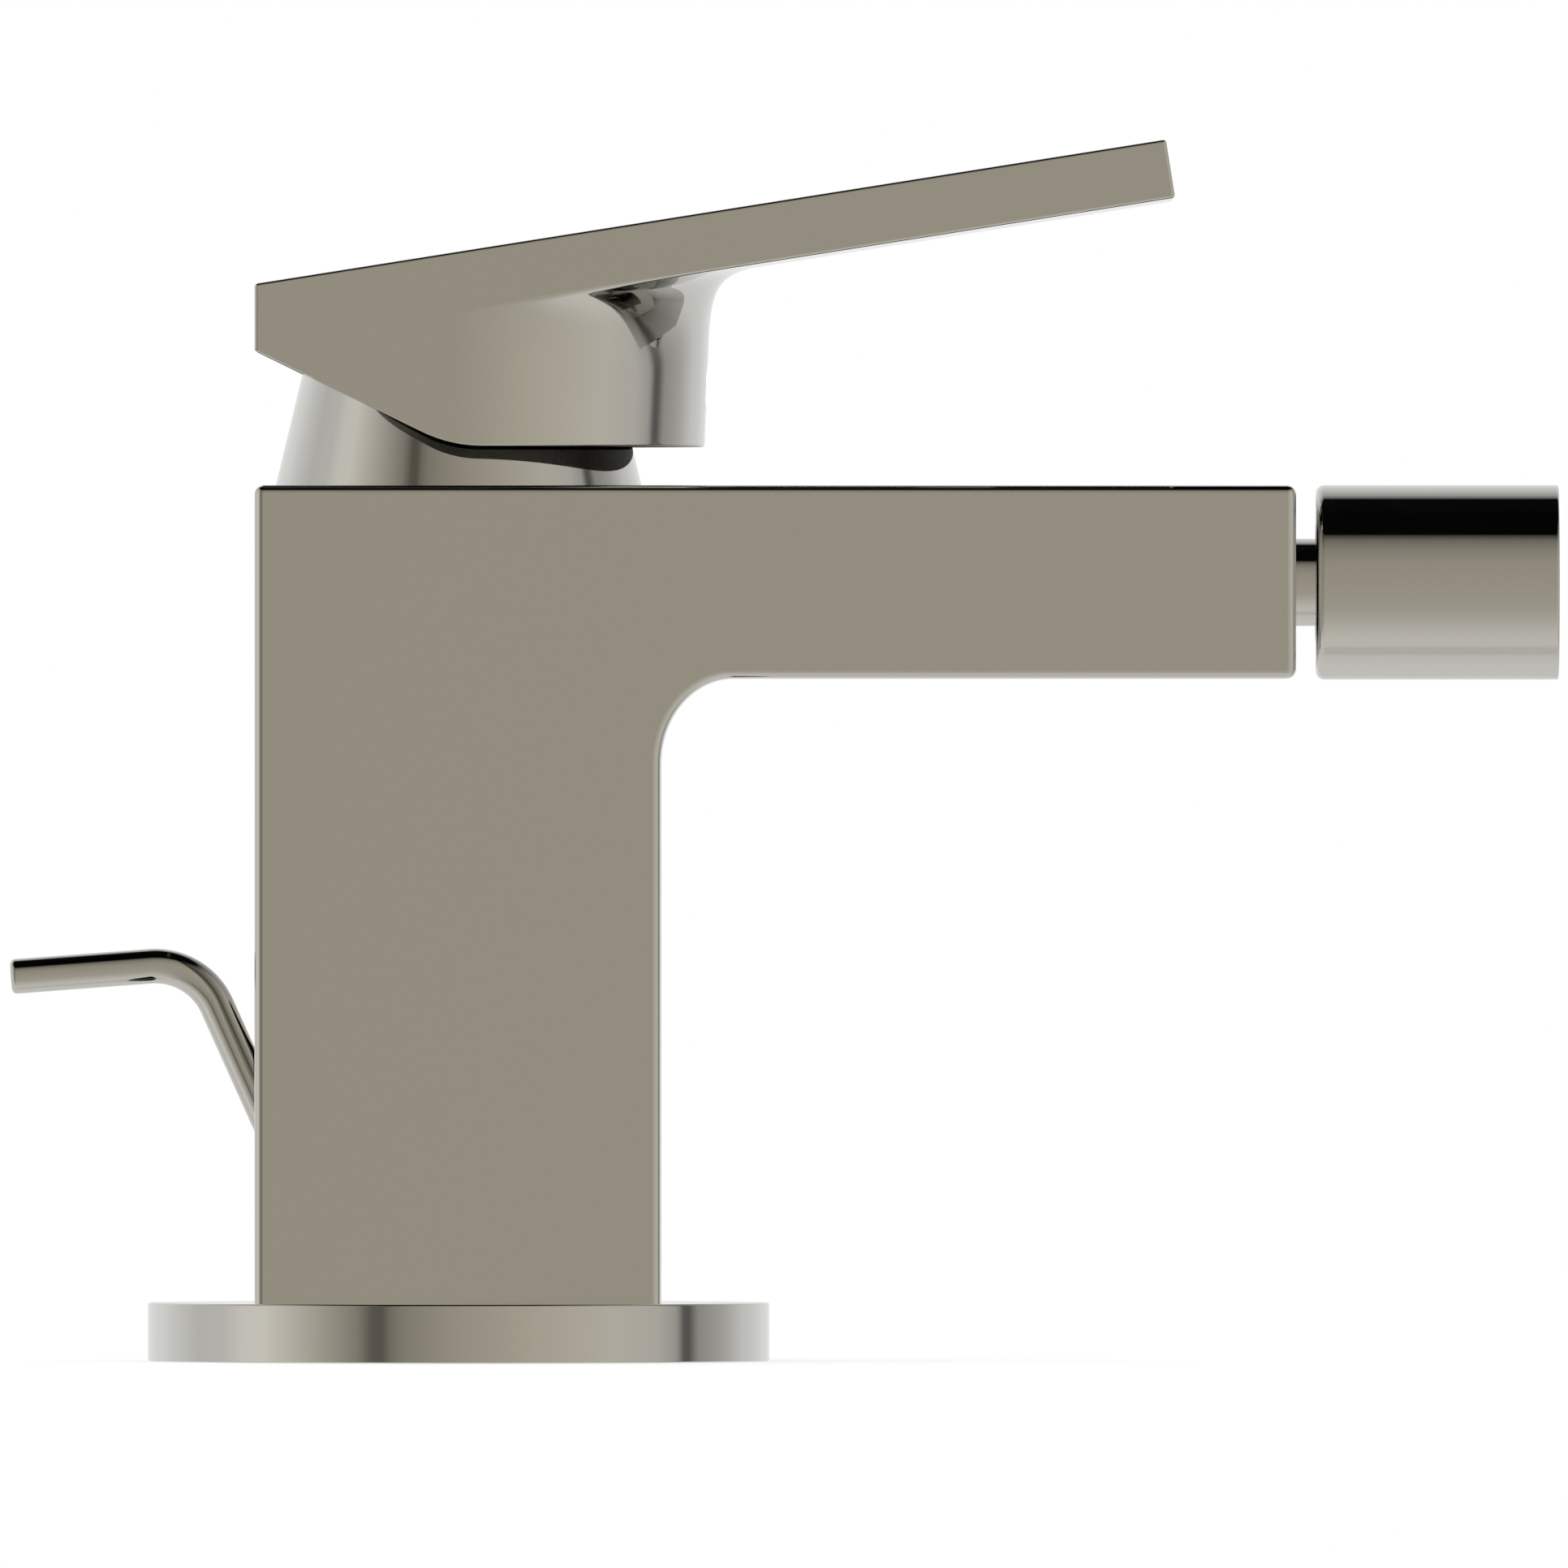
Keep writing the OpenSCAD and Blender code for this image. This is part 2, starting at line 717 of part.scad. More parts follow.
// Corner at which the drafted nose would meet the lever's underside, and the curve that softens it
corner_x = (nose_x + (lever_low(0) - hub_z) * tan(nose_draft)) / (1 - tan(lever_tilt) * tan(nose_draft));
nose_corner = [corner_x, lever_low(corner_x)];
blend_low = nose_corner - nose_blend * [sin(nose_draft), cos(nose_draft)];
blend_high = nose_corner + nose_blend * [cos(lever_tilt), sin(lever_tilt)];
pull_low = blend_low + nose_pull * (nose_corner - blend_low);
pull_high = blend_high + nose_pull * (nose_corner - blend_high);
function blend(t) =
    let (s = 1 - t)
        s ^ 3 * blend_low + 3 * s ^ 2 * t * pull_low + 3 * s * t ^ 2 * pull_high + t ^ 3 * blend_high;

// Reach and height of the nose in the plane of symmetry, upwards from below the hub
nose_profile = concat(
    [[nose_x - cut * tan(nose_draft), hub_z - cut]],
    [for (i = [0:12]) blend(i / 12)]
);

// One level of the hub: straight sides and rear, and a half ellipse that reaches to x
function hub_ring(x, z, steps) = concat(
    [[-half - cut, half, z], [-half - cut, -half, z]],
    [for (i = [0:steps])
        let (a = -90 + 180 * i / steps)
            [x * cos(a), half * sin(a), z]]
);

module hub_loft() {
    steps = 32;
    count = steps + 3;
    levels = len(nose_profile);
    points = [for (p = nose_profile) each hub_ring(p[0], p[1], steps)];
    walls = [
        for (k = [0:levels - 2])
            for (i = [0:count - 1])
                let (j = (i + 1) % count, a = k * count, b = a + count)
                    each [[a + i, b + j, a + j], [a + i, b + i, b + j]]
    ];
    low = [for (i = [0:count - 1]) i];
    high = [for (i = [count - 1:-1:0]) (levels - 1) * count + i];
    polyhedron(points, concat(walls, [low, high]));
}

// Side view of the hub, with its rear cut, closed above in the middle of the lever's plate
module hub_side() {
    flat_x = -half + (rear_low - hub_z) / tan(rear_cut) + rear_cut_r * tan(rear_cut / 2);
    front = nose_profile[len(nose_profile) - 1][0];
    polygon(concat(
        [[-half, rear_low]],
        arc([flat_x, hub_z + rear_cut_r], rear_cut_r, 270 - rear_cut, 270, arc_steps),
        [
            [front, hub_z],
            [front, lever_low(front) + lever_drop / 2],
            [-half, lever_low(-half) + lever_drop / 2]
        ]
    ));
}

module handle_skin() {
    side_plate(body_w)
        polygon([
            [-half, lever_low(-half)],
            [-half, rear_top],
            [lever_reach, lever_top(lever_reach)],
            [lever_reach + lever_t * sin(lever_tilt), lever_top(lever_reach) - lever_t * cos(lever_tilt)]
        ]);
    intersection() {
        hub_loft();
        side_plate(body_w + 2 * cut)
            hub_side();
    }
}

module handle() {
    color(nickel)
    difference() {
        union() {
            difference() {
                handle_skin();
                // Room over the cone at rest, and behind the stem for the cone's rear edge when lifted
                translate([0, 0, hub_z - cut])
                    cylinder(r = handle_bore_r, h = front_ceiling - hub_z + cut);
                intersection() {
                    translate([0, 0, front_ceiling - cut])
                        cylinder(r = rear_relief_r, h = rear_ceiling - front_ceiling + cut);
                    box([-half, -half, hub_z], [socket_r / 4, half, rear_ceiling + cut]);
                }
            }
            translate([0, 0, socket_z])
                cylinder(r = socket_r, h = rear_ceiling - socket_z + cut);
        }
        w = stem_w / 2 + run_gap;
        box([-w, -w, socket_z - cut], [w, w, socket_top]);
        along_grub(grub_tip_x)
            cylinder(r = grub_r + run_gap, h = half + nose_x, $fn = 48);
    }
}

// Lays what is built up along Z along the grub screw's axis, outwards from x
module along_grub(x) {
    translate([x, 0, grub_z + (nose_at_grub - x) * tan(grub_slope)])
        rotate([0, 90 + grub_slope, 0])
            children();
}

module grub_screw() {
    tip = 1;
    key_r = 1.45;
    key_depth = 3;
    color(steel)
    along_grub(grub_tip_x + seat_gap)
        difference() {
            rotate_extrude()
                polygon([
                    [0, 0.9], [grub_r - tip, 0.9], [grub_r, 0.9 + tip],
                    [grub_r, grub_len - tip / 4], [grub_r - tip / 4, grub_len], [0, grub_len]
                ]);
            translate([0, 0, grub_len - key_depth])
                cylinder(r = key_r, h = key_depth + cut, $fn = 6);
        }
}

// Threaded nipple with the ball that the nozzle swivels on
module nozzle_nipple() {
    groove = 0.9;
    color(nickel)
    difference() {
        union() {
            along_nozzle(arm_reach - end_wall)
                cylinder(r = nipple_thread_r, h = end_wall);
            along_nozzle(arm_reach - end_wall)
                cylinder(r = neck_r, h = end_wall + nozzle_gap + ball_depth);
            intersection() {
                translate([ball_x, 0, axis_z])
                    sphere(r = ball_r);
                along_nozzle(ball_x - ball_r - cut)
                    cylinder(r = ball_r + cut, h = 2 * ball_r + cut - 1.7);
            }
        }
        along_nozzle(arm_reach - end_wall - cut)
            cylinder(r = nipple_bore_r, h = end_wall + nozzle_gap + ball_depth + ball_r + 2 * cut);
        along_nozzle(arm_reach - 2.5 - groove)
            ring(nipple_thread_r + cut, nipple_thread_r - 2 * groove + run_gap, 2 * groove);
    }
}

module nipple_seal() {
    tube = 0.8;
    color(rubber_colour)
    along_nozzle(arm_reach - 2.5)
        o_ring(nipple_thread_r - tube, tube);
}

module ball_liner() {
    color(acetal)
    difference() {
        intersection() {
            translate([ball_x, 0, axis_z])
                sphere(r = liner_out);
            along_nozzle(ball_x + liner_rear)
                cylinder(r = liner_out + cut, h = liner_front - liner_rear);
        }
        translate([ball_x, 0, axis_z])
            sphere(r = liner_in);
    }
}

module ball_seal() {
    color(rubber_colour)
    difference() {
        along_nozzle(seal_x)
            cylinder(r = insert_r, h = seal_len);
        translate([ball_x, 0, axis_z])
            sphere(r = liner_in);
    }
}

module nozzle_casing() {
    rear_edge = 0.85;
    front_edge = 0.3;
    color(nickel)
    difference() {
        along_nozzle(casing_x)
            rotate_extrude()
                polygon(concat(
                    [[0, 0]],
                    arc([nozzle_r - rear_edge, rear_edge], rear_edge, -90, 0, arc_steps),
                    arc([nozzle_r - front_edge, nozzle_len - front_edge], front_edge, 0, 90, 4),
                    [[0, nozzle_len]]
                ));
        along_nozzle(casing_x - cut)
            cylinder(r = casing_hole_r, h = ball_depth + cut);
        translate([ball_x, 0, axis_z])
            sphere(r = seat_sphere);
        along_nozzle(ball_x)
            cylinder(r = casing_bore_r, h = nozzle_len);
    }
}

module ball_gland() {
    color(brass)
    along_nozzle(gland_x)
        ring(insert_r, casing_bore_r - 2.6, gland_len);
}

module aerator_washer() {
    color(rubber_colour)
    along_nozzle(washer_x)
        ring(insert_r, casing_bore_r - 3, washer_len);
}

module flow_regulator() {
    holes = 8;
    color(dark_plastic)
    along_nozzle(insert_x + run_gap)
        difference() {
            cylinder(r = insert_r - insert_wall - run_gap, h = regulator_t);
            for (i = [1:holes])
                rotate([0, 0, 360 * i / holes])
                    translate([5.4, 0, -cut])
                        cylinder(r = 1, h = regulator_t + 2 * cut, $fn = 24);
        }
}

// Insert that mixes air into the water, open at the rear and stepped at the front for the grid
module aerator_body() {
    bore = insert_r - insert_wall;
    notch = 2.2;
    color(acetal)
    along_nozzle(insert_x)
        difference() {
            cylinder(r = insert_r, h = insert_end - insert_x);
            translate([0, 0, -cut])
                cylinder(r = bore, h = insert_end - insert_x + 2 * cut);
            for (i = [0:3])
                rotate([0, 0, 45 + 90 * i])
                    box(
                        [bore - cut, -notch / 2, insert_end - insert_x - 0.8],
                        [insert_r + cut, notch / 2, insert_end - insert_x + cut]
                    );
        }
}

// Perforated disc that straightens the jet, with holes on rings round the axis
module outlet_grid() {
    color(steel)
    along_nozzle(insert_end - grid_t - 0.3)
        difference() {
            cylinder(r = insert_r - insert_wall - run_gap, h = grid_t);
            for (k = [0:grid_rings])
                for (i = [1:max(1, 6 * k)])
                    rotate([0, 0, 360 * i / max(1, 6 * k)])
                        translate([k * grid_pitch, 0, -cut])
                            cylinder(r = grid_hole_r, h = grid_t + 2 * cut, $fn = 16);
        }
}

module popup_rod() {
    length = rod_run - rod_tangent;
    bisector = (rod_down + rod_out) / norm(rod_down + rod_out);
    centre = rod_corner + rod_bend_r / cos(rod_turn / 2) * bisector;
    color(nickel)
    translate([centre[0], 0, centre[1]])
        rotate([90, -rod_lean, 0]) {
            rotate_extrude(angle = rod_turn)
                translate([rod_bend_r, 0])
                    circle(r = rod_r, $fn = 48);
            translate([rod_bend_r, 0, 0])
                rotate([90, 0, 0])
                    cylinder(r = rod_r, h = rod_rise - rod_tangent + rod_tail, $fn = 48);
            rotate([0, 0, rod_turn])
                translate([rod_bend_r, 0, 0])
                    rotate([-90, 0, 0]) {
                        cylinder(r = rod_r, h = length - rod_end_r, $fn = 48);
                        rotate_extrude($fn = 48)
                            polygon(concat(
                                [[0, length - rod_end_r]],
                                arc([rod_r - rod_end_r, length - rod_end_r], rod_end_r, 0, 90, arc_steps),
                                [[0, length]]
                            ));
                    }
        }
}

module rod_bush() {
    color(acetal)
    along_rod(bush_start)
        ring(bush_r, rod_r + run_gap, bush_len);
}

body_casting();
inlet_block();
inlet_pipes();
base_flange();
base_seal();
cone_cover();
cartridge_nut();
cartridge_housing();
cartridge_base();
housing_seal();
port_seals();
fixed_disc();
disc_seals();
nozzle_nipple();
nipple_seal();
rod_bush();
turret();
stem_pin();
lever_stem();
handle();
grub_screw();
moving_disc();
disc_carriage();
ball_liner();
ball_seal();
nozzle_casing();
ball_gland();
aerator_washer();
flow_regulator();
aerator_body();
outlet_grid();
popup_rod();
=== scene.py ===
"""Looks of the bidet mixer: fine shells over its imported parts, polished nickel and a plain white studio."""

import json
import math

import bmesh
import bpy
from mathutils import Matrix, Vector


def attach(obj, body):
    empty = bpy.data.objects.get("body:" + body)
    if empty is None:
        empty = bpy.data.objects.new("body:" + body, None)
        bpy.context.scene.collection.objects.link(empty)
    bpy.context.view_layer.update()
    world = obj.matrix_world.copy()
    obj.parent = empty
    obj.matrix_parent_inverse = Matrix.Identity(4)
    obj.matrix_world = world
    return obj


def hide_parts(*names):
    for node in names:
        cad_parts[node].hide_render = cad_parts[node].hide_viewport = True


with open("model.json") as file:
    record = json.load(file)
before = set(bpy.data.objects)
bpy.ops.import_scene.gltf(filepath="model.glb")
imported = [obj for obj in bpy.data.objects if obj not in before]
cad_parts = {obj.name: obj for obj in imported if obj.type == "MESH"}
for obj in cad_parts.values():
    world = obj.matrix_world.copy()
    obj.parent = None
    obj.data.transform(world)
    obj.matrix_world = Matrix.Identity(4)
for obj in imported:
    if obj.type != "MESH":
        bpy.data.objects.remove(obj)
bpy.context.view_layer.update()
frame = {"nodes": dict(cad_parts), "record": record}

MM = 0.001

# Sizes in millimetres, as in the part's source
HALF = 25.0
BODY_TOP = 107.9
ARM_Z = 84.15
AXIS_Z = 96.025
ARM_REACH = 103.15
EDGE_R = 1.1
FILLET_X = 9.0
FILLET_Z = 10.5
BODY_WALL = 3.5
FLANGE_T = 7.2
FLANGE_R = HALF * math.sqrt(2) + 3
SPIGOT_R = 21.0
SPIGOT_Z = 0.6
FOOT_BORE_R = 17.5
FOOT_TOP = 12.0
HOLLOW_TOP = 74.0
SEAT_Z = 82.0
CHAMBER_R = 17.75
NUT_R = 20.05
NUT_Z = 98.4
INLET_Y = 9.0
INLET_R = 3.6
PIPE_R = 5.4
PIPE_SOCKET = 4.0
BLOCK_TOP = 28.2
HOSE_R = 4.45
HOSE_MAJOR_R = 5.0
HOSE_DEPTH = 13.0
STUD_X = 11.6
STUD_R = 3.4
STUD_MAJOR_R = 4.0
STUD_DEPTH = 18.0
HOSE_PITCH = 1.0
STUD_PITCH = 1.25
END_WALL = 10.0
NIPPLE_R = 8.0
PORT_HALF = 8.0
PORT_LOW = SEAT_Z + 1.2
PORT_TOP = SEAT_Z + 12.5
BLOCK_FLAT_GAP = 2.5
BLOCK_EDGE_R = 0.4
SEAL_RIM = 3.0
SEAL_W = 5.4
SEAL_GROOVE = 1.6
FLANGE_EDGE_R = 0.3
FLANGE_FOOT_R = 0.15

HUB_Z = 112.75
REAR_TOP = 132.7
REAR_LOW = 124.55
REAR_CUT = math.radians(26.1)
REAR_CUT_R = 17.0
NOSE_X = 30.35
NOSE_DRAFT = math.radians(2.3)
NOSE_BLEND = 9.0
NOSE_PULL = 0.9
SIDE_BLEND = 11.5
SIDE_PULL = 0.7
SIDE_ANGLE = math.radians(55)
LEVER_TILT = math.radians(9)
LEVER_T = 7.3
LEVER_REACH = 87.15
LEVER_EDGE_R = 0.42
HUB_EDGE_R = 0.22
HUB_BORE_R = 22.4
HUB_CEILING = 122.3
RELIEF_R = 20.62
RELIEF_TOP = 129.5
SOCKET_R = 7.56
SOCKET_Z = 121.0
SOCKET_TOP = 133.3
STEM_W = 8.0
GRUB_Z = 120.05
GRUB_SLOPE = math.radians(21.4)
GRUB_R = 2.55
GRUB_EDGE_R = 0.22
GRUB_GAP = 0.1
# The rim between hollow and side face is sharp up to the first x and fully rounded after this run
RIM_START = 2.0
RIM_RUN = 8.0

CONE_R = 22.6
CONE_SLOPE = math.tan(math.radians(13.2))
CONE_TOP = 121.9
CONE_EDGE_R = 0.4
CONE_THREAD_R = 18.85
CONE_THREAD_TOP = 113.2
CONE_INSIDE_R = 17.2
CONE_ROOF = 2.0
CONE_MOUTH_R = 15.0
CONE_MOUTH_EDGE_R = 0.25

CASING_X = 105.75
BALL_X = 113.75
BALL_R = 8.5
BALL_FLAT = 1.7
NECK_R = 5.4
NIPPLE_BORE_R = 3.4
CASING_R = 12.0
CASING_BORE_R = 10.25
CASING_HOLE_R = 7.4
CASING_SEAT_R = 9.85
CASING_REAR_EDGE_R = 1.05
CASING_FRONT_EDGE_R = 0.3
CASING_MOUTH_EDGE_R = 0.2
NOZZLE_END = 135.75
INSERT_END = 134.65
GRID_SETBACK = 0.3
GRID_T = 1.2
GRID_R = 8.55
GRID_RINGS = 4
GRID_PITCH = 1.85
GRID_HOLE_R = 0.65

ROD_R = 2.15
ROD_ENTRY = 33.05
ROD_LEAN = math.radians(24.2)
ROD_TOP_SLOPE = math.radians(4.3)
ROD_RISE = 17.6
ROD_RUN = 23.1
ROD_BEND_R = 8.3
ROD_END_R = 0.65
ROD_FOOT = 2.0
BUSH_START = 10.0
BUSH_LEN = 12.0
BUSH_R = 3.5
BUSH_ROOM = 6.0
GUIDE_WALL = 2.0
ROD_GAP = 0.3
ROD_FRONT = -HALF + (ROD_ENTRY - FLANGE_T) * math.tan(ROD_LEAN) + ROD_R / math.cos(ROD_LEAN)

# Clearances, and how far a cut runs past what it cuts
CLOSE_FIT = 0.05
LOOSE_FIT = 0.1
CUT = 1.0
LONG_CUT = 10.0


# Meshes

def solid(name, points, faces):
    """A closed mesh object in millimetres, its doubles merged and its faces outwards."""
    mesh = bpy.data.meshes.new(name)
    mesh.from_pydata([tuple(p) for p in points], [], faces)
    work = bmesh.new()
    work.from_mesh(mesh)
    bmesh.ops.remove_doubles(work, verts=work.verts, dist=1e-5)
    bmesh.ops.recalc_face_normals(work, faces=work.faces)
    work.to_mesh(mesh)
    work.free()
    obj = bpy.data.objects.new(name, mesh)
    bpy.context.scene.collection.objects.link(obj)
    return obj


def arc(centre, radius, start, end, steps):
    """Points of an arc in degrees, end points included."""
    angles = [math.radians(start + (end - start) * i / steps) for i in range(steps + 1)]
    return [(centre[0] + radius * math.cos(a), centre[1] + radius * math.sin(a)) for a in angles]


def side_prism(name, outline, width):
    """A side view drawn in X and Z, given its width about the plane of symmetry."""
    n = len(outline)
    points = [(x, y, z) for y in (-width / 2, width / 2) for x, z in outline]
    sides = [(i, (i + 1) % n, n + (i + 1) % n, n + i) for i in range(n)]
    return solid(name, points, [tuple(range(n)), tuple(range(n, 2 * n))] + sides)


def block(name, low, high):
    """A box between two corners."""
    outline = [(low[0], low[2]), (high[0], low[2]), (high[0], high[2]), (low[0], high[2])]
    made = side_prism(name, outline, high[1] - low[1])
    made.data.transform(Matrix.Translation((0, (low[1] + high[1]) / 2, 0)))
    return made


def turned(name, profile, place=Matrix.Identity(4), steps=96):
    """A lathe-turned solid: a closed profile of radius and height, turned about Z and then laid in place."""
    n = len(profile)
    points = []
    for k in range(steps):
        a = 2 * math.pi * k / steps
        points += [(r * math.cos(a), r * math.sin(a), h) for r, h in profile]
    faces = [
        (k * n + i, (k + 1) % steps * n + i, (k + 1) % steps * n + (i + 1) % n, k * n + (i + 1) % n)
        for k in range(steps)
        for i in range(n)
    ]
    made = solid(name, points, faces)
    made.data.transform(place)
    return made


def cylinder(name, radius, low, high, place=Matrix.Identity(4), steps=96):
    """A plain cylinder along Z between two heights, laid in place."""
    return turned(name, [(0, low), (radius, low), (radius, high), (0, high)], place, steps)


def along_nozzle(x):
    """Lays what is turned about Z along the nozzle's axis, from x towards the outlet."""
    return Matrix.Translation((x, 0, AXIS_Z)) @ Matrix.Rotation(math.pi / 2, 4, "Y")


def along_rod(s):
    """Lays what is turned about Z along the leaning rod, downwards from the rear face at distance s."""
    down = Vector((math.sin(ROD_LEAN), 0, -math.cos(ROD_LEAN)))
    start = Vector((-HALF, 0, ROD_ENTRY)) + s * down
    return Matrix.Translation(start) @ Matrix.Rotation(math.pi - ROD_LEAN, 4, "Y")


def along_grub(x):
    """Lays what is turned about Z along the grub screw's rising hole, outwards from x."""
    nose = NOSE_X + (GRUB_Z - HUB_Z) * math.tan(NOSE_DRAFT)
    start = (x, 0, GRUB_Z + (nose - x) * math.tan(GRUB_SLOPE))
    return Matrix.Translation(start) @ Matrix.Rotation(math.pi / 2 + GRUB_SLOPE, 4, "Y")


def shape(piece, operation, tools):
    """Cuts the tools from a piece or adds them to it, one after another, and takes the tools away."""
    for tool in tools:
        modifier = piece.modifiers.new(tool.name, "BOOLEAN")
        modifier.operation = operation
        modifier.solver = "MANIFOLD"
        modifier.object = tool
    apply_modifiers(piece)
    for tool in tools:
        bpy.data.objects.remove(tool)


def apply_modifiers(piece):
    """Turns what the modifiers show into the piece's plain mesh."""
    shown = piece.evaluated_get(bpy.context.evaluated_depsgraph_get())
    mesh = bpy.data.meshes.new_from_object(shown)
    piece.modifiers.clear()
    piece.data = mesh


def round_edges(piece, radius, segments, limit=None):
    """Rounds a piece's edges: those sharper than the limit in degrees, or else those with a bevel weight."""
    modifier = piece.modifiers.new("rounding", "BEVEL")
    modifier.width = radius
    modifier.segments = segments
    modifier.limit_method = "ANGLE" if limit else "WEIGHT"
    modifier.angle_limit = math.radians(limit or 30)
    modifier.use_clamp_overlap = False
    apply_modifiers(piece)


def smooth(piece, angle=32):
    """Smooth faces with the flat ones kept flat, sharp where the surface turns by more than the angle."""
    mesh = piece.data
    mesh.polygons.foreach_set("use_smooth", [True] * len(mesh.polygons))
    mesh.set_sharp_from_angle(angle=math.radians(angle))
    modifier = piece.modifiers.new("flat_faces_first", "WEIGHTED_NORMAL")
    modifier.keep_sharp = True
    modifier.weight = 100
    # Faces whose areas differ by less than this, in square millimetres, count the same
    modifier.thresh = 2.0
    apply_modifiers(piece)


def fit(piece, body, slot, material, *nodes):
    """Brings a finished piece to metres and hangs it on its body, in place of its CAD nodes."""
    piece.data.transform(Matrix.Scale(MM, 4))
    piece.data.materials.clear()
    piece.data.materials.append(material)
    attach(piece, body)
    if nodes:
        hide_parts(*nodes)
    return piece


# Node trees

def put(tree, kind, settings=None, inputs=None):
    """Adds a node, with its settings by name and its inputs by name or number, each a value or a socket."""
    node = tree.nodes.new(kind)
    for name, value in (settings or {}).items():
        setattr(node, name, value)
    for name, value in (inputs or {}).items():
        if isinstance(value, bpy.types.NodeSocket):
            tree.links.new(value, node.inputs[name])
        else:
            node.inputs[name].default_value = value
    return node


def mixed(tree, factor, a, b, way="MIX"):
    """Mixes or multiplies two colours."""
    settings = {"data_type": "RGBA", "blend_type": way}
    return put(tree, "ShaderNodeMix", settings, {0: factor, 6: a, 7: b}).outputs[2]


def colour(hex_value):
    """Linear colour from an sRGB hex value such as "c8c0b4"."""
    channels = [int(hex_value[i:i + 2], 16) / 255 for i in (0, 2, 4)]
    linear = [c / 12.92 if c <= 0.04045 else ((c + 0.055) / 1.055) ** 2.4 for c in channels]
    return (*linear, 1.0)


def new_material(name):
    """An empty material with its Principled shader, which is linked to the output."""
    material = bpy.data.materials.new(name)
    material.use_nodes = True
    tree = material.node_tree
    tree.nodes.clear()
    shader = put(tree, "ShaderNodeBsdfPrincipled")
    put(tree, "ShaderNodeOutputMaterial", inputs={"Surface": shader.outputs["BSDF"]})
    return material, tree, shader


def relief(tree, shader, height, depth_mm):
    """Gives a surface a fine relief of that depth in millimetres."""
    bump = put(tree, "ShaderNodeBump", inputs={"Height": height, "Distance": depth_mm * MM, "Strength": 1.0})
    tree.links.new(bump.outputs["Normal"], shader.inputs["Normal"])


def per_mm(size_mm):
    """Scale of a pattern in object metres whose features are that many millimetres apart."""
    return 1 / (size_mm * MM)


def polished_nickel():
    """Bright nickel plated on polished brass: a warm grey mirror, a little soft from the buffing wheel."""
    material, tree, shader = new_material("polished_nickel_plate")
    shader.inputs["Base Color"].default_value = colour("d1d0cb")
    shader.inputs["Metallic"].default_value = 1.0
    place = put(tree, "ShaderNodeTexCoord")
    # Buffing leaves hazier and clearer patches some 12 mm wide
    haze = put(tree, "ShaderNodeTexNoise", inputs={
        "Vector": place.outputs["Object"], "Scale": per_mm(12), "Detail": 2.0, "Roughness": 0.45})
    gloss = put(tree, "ShaderNodeMapRange", inputs={
        "Value": haze.outputs["Fac"], "From Min": 0.3, "From Max": 0.7, "To Min": 0.03, "To Max": 0.05})
    tree.links.new(gloss.outputs["Result"], shader.inputs["Roughness"])
    return material


def unpolished_plate_painted_shade():
    """The same plate left unpolished: dull and grainy from the casting's skin, its dark colour painted shade.
    """
    material, tree, shader = new_material("unpolished_plate_with_painted_shade")
    # Painted shade: this dark base colour stands in for the shade under the hub and in its hollow
    shader.inputs["Base Color"].default_value = colour("403f3c")
    shader.inputs["Metallic"].default_value = 1.0
    shader.inputs["Roughness"].default_value = 0.55
    place = put(tree, "ShaderNodeTexCoord")
    # Sand grains leave pits 0.25 mm apart
    pits = put(tree, "ShaderNodeTexNoise", inputs={
        "Vector": place.outputs["Object"], "Scale": per_mm(0.25), "Detail": 1.0})
    relief(tree, shader, pits.outputs["Fac"], 0.03)
    return material


def turned_brass():
    """Free-cutting brass as it leaves the lathe: yellow, satin, with fine tool marks round the axis."""
    material, tree, shader = new_material("turned_brass")
    shader.inputs["Base Color"].default_value = colour("d9b772")
    shader.inputs["Metallic"].default_value = 1.0
    shader.inputs["Roughness"].default_value = 0.3
    place = put(tree, "ShaderNodeTexCoord")
    # Tool marks, drawn 2 pi x 0.3 mm apart so that they show: a wave turns 20 radians in a unit of its scale
    marks = put(tree, "ShaderNodeTexWave", {"wave_type": "BANDS", "bands_direction": "Z"}, {
        "Vector": place.outputs["Object"], "Scale": per_mm(0.3) / 20, "Distortion": 1.0, "Detail": 1.0})
    relief(tree, shader, marks.outputs["Fac"], 0.004)
    return material


def moulded_acetal(name, hex_value, roughness):
    """Injection-moulded acetal: even colour and a waxy sheen with a faint orange peel."""
    material, tree, shader = new_material(name)
    shader.inputs["Base Color"].default_value = colour(hex_value)
    shader.inputs["Roughness"].default_value = roughness
    shader.inputs["IOR"].default_value = 1.48
    place = put(tree, "ShaderNodeTexCoord")
    # Mould texture with 0.5 mm between its hills
    peel = put(tree, "ShaderNodeTexNoise", inputs={
        "Vector": place.outputs["Object"], "Scale": per_mm(0.5), "Detail": 1.0})
    relief(tree, shader, peel.outputs["Fac"], 0.004)
    return material


def moulded_rubber():
    """Pressed EPDM rubber: near black, matt, with a dusty bloom."""
    material, tree, shader = new_material("moulded_epdm_rubber")
    shader.inputs["Roughness"].default_value = 0.62
    shader.inputs["IOR"].default_value = 1.52
    place = put(tree, "ShaderNodeTexCoord")
    # Bloom in patches of 2 mm
    bloom = put(tree, "ShaderNodeTexNoise", inputs={
        "Vector": place.outputs["Object"], "Scale": per_mm(2), "Detail": 4.0})
    tone = mixed(tree, bloom.outputs["Fac"], colour("202124"), colour("2c2d30"))
    tree.links.new(tone, shader.inputs["Base Color"])
    return material


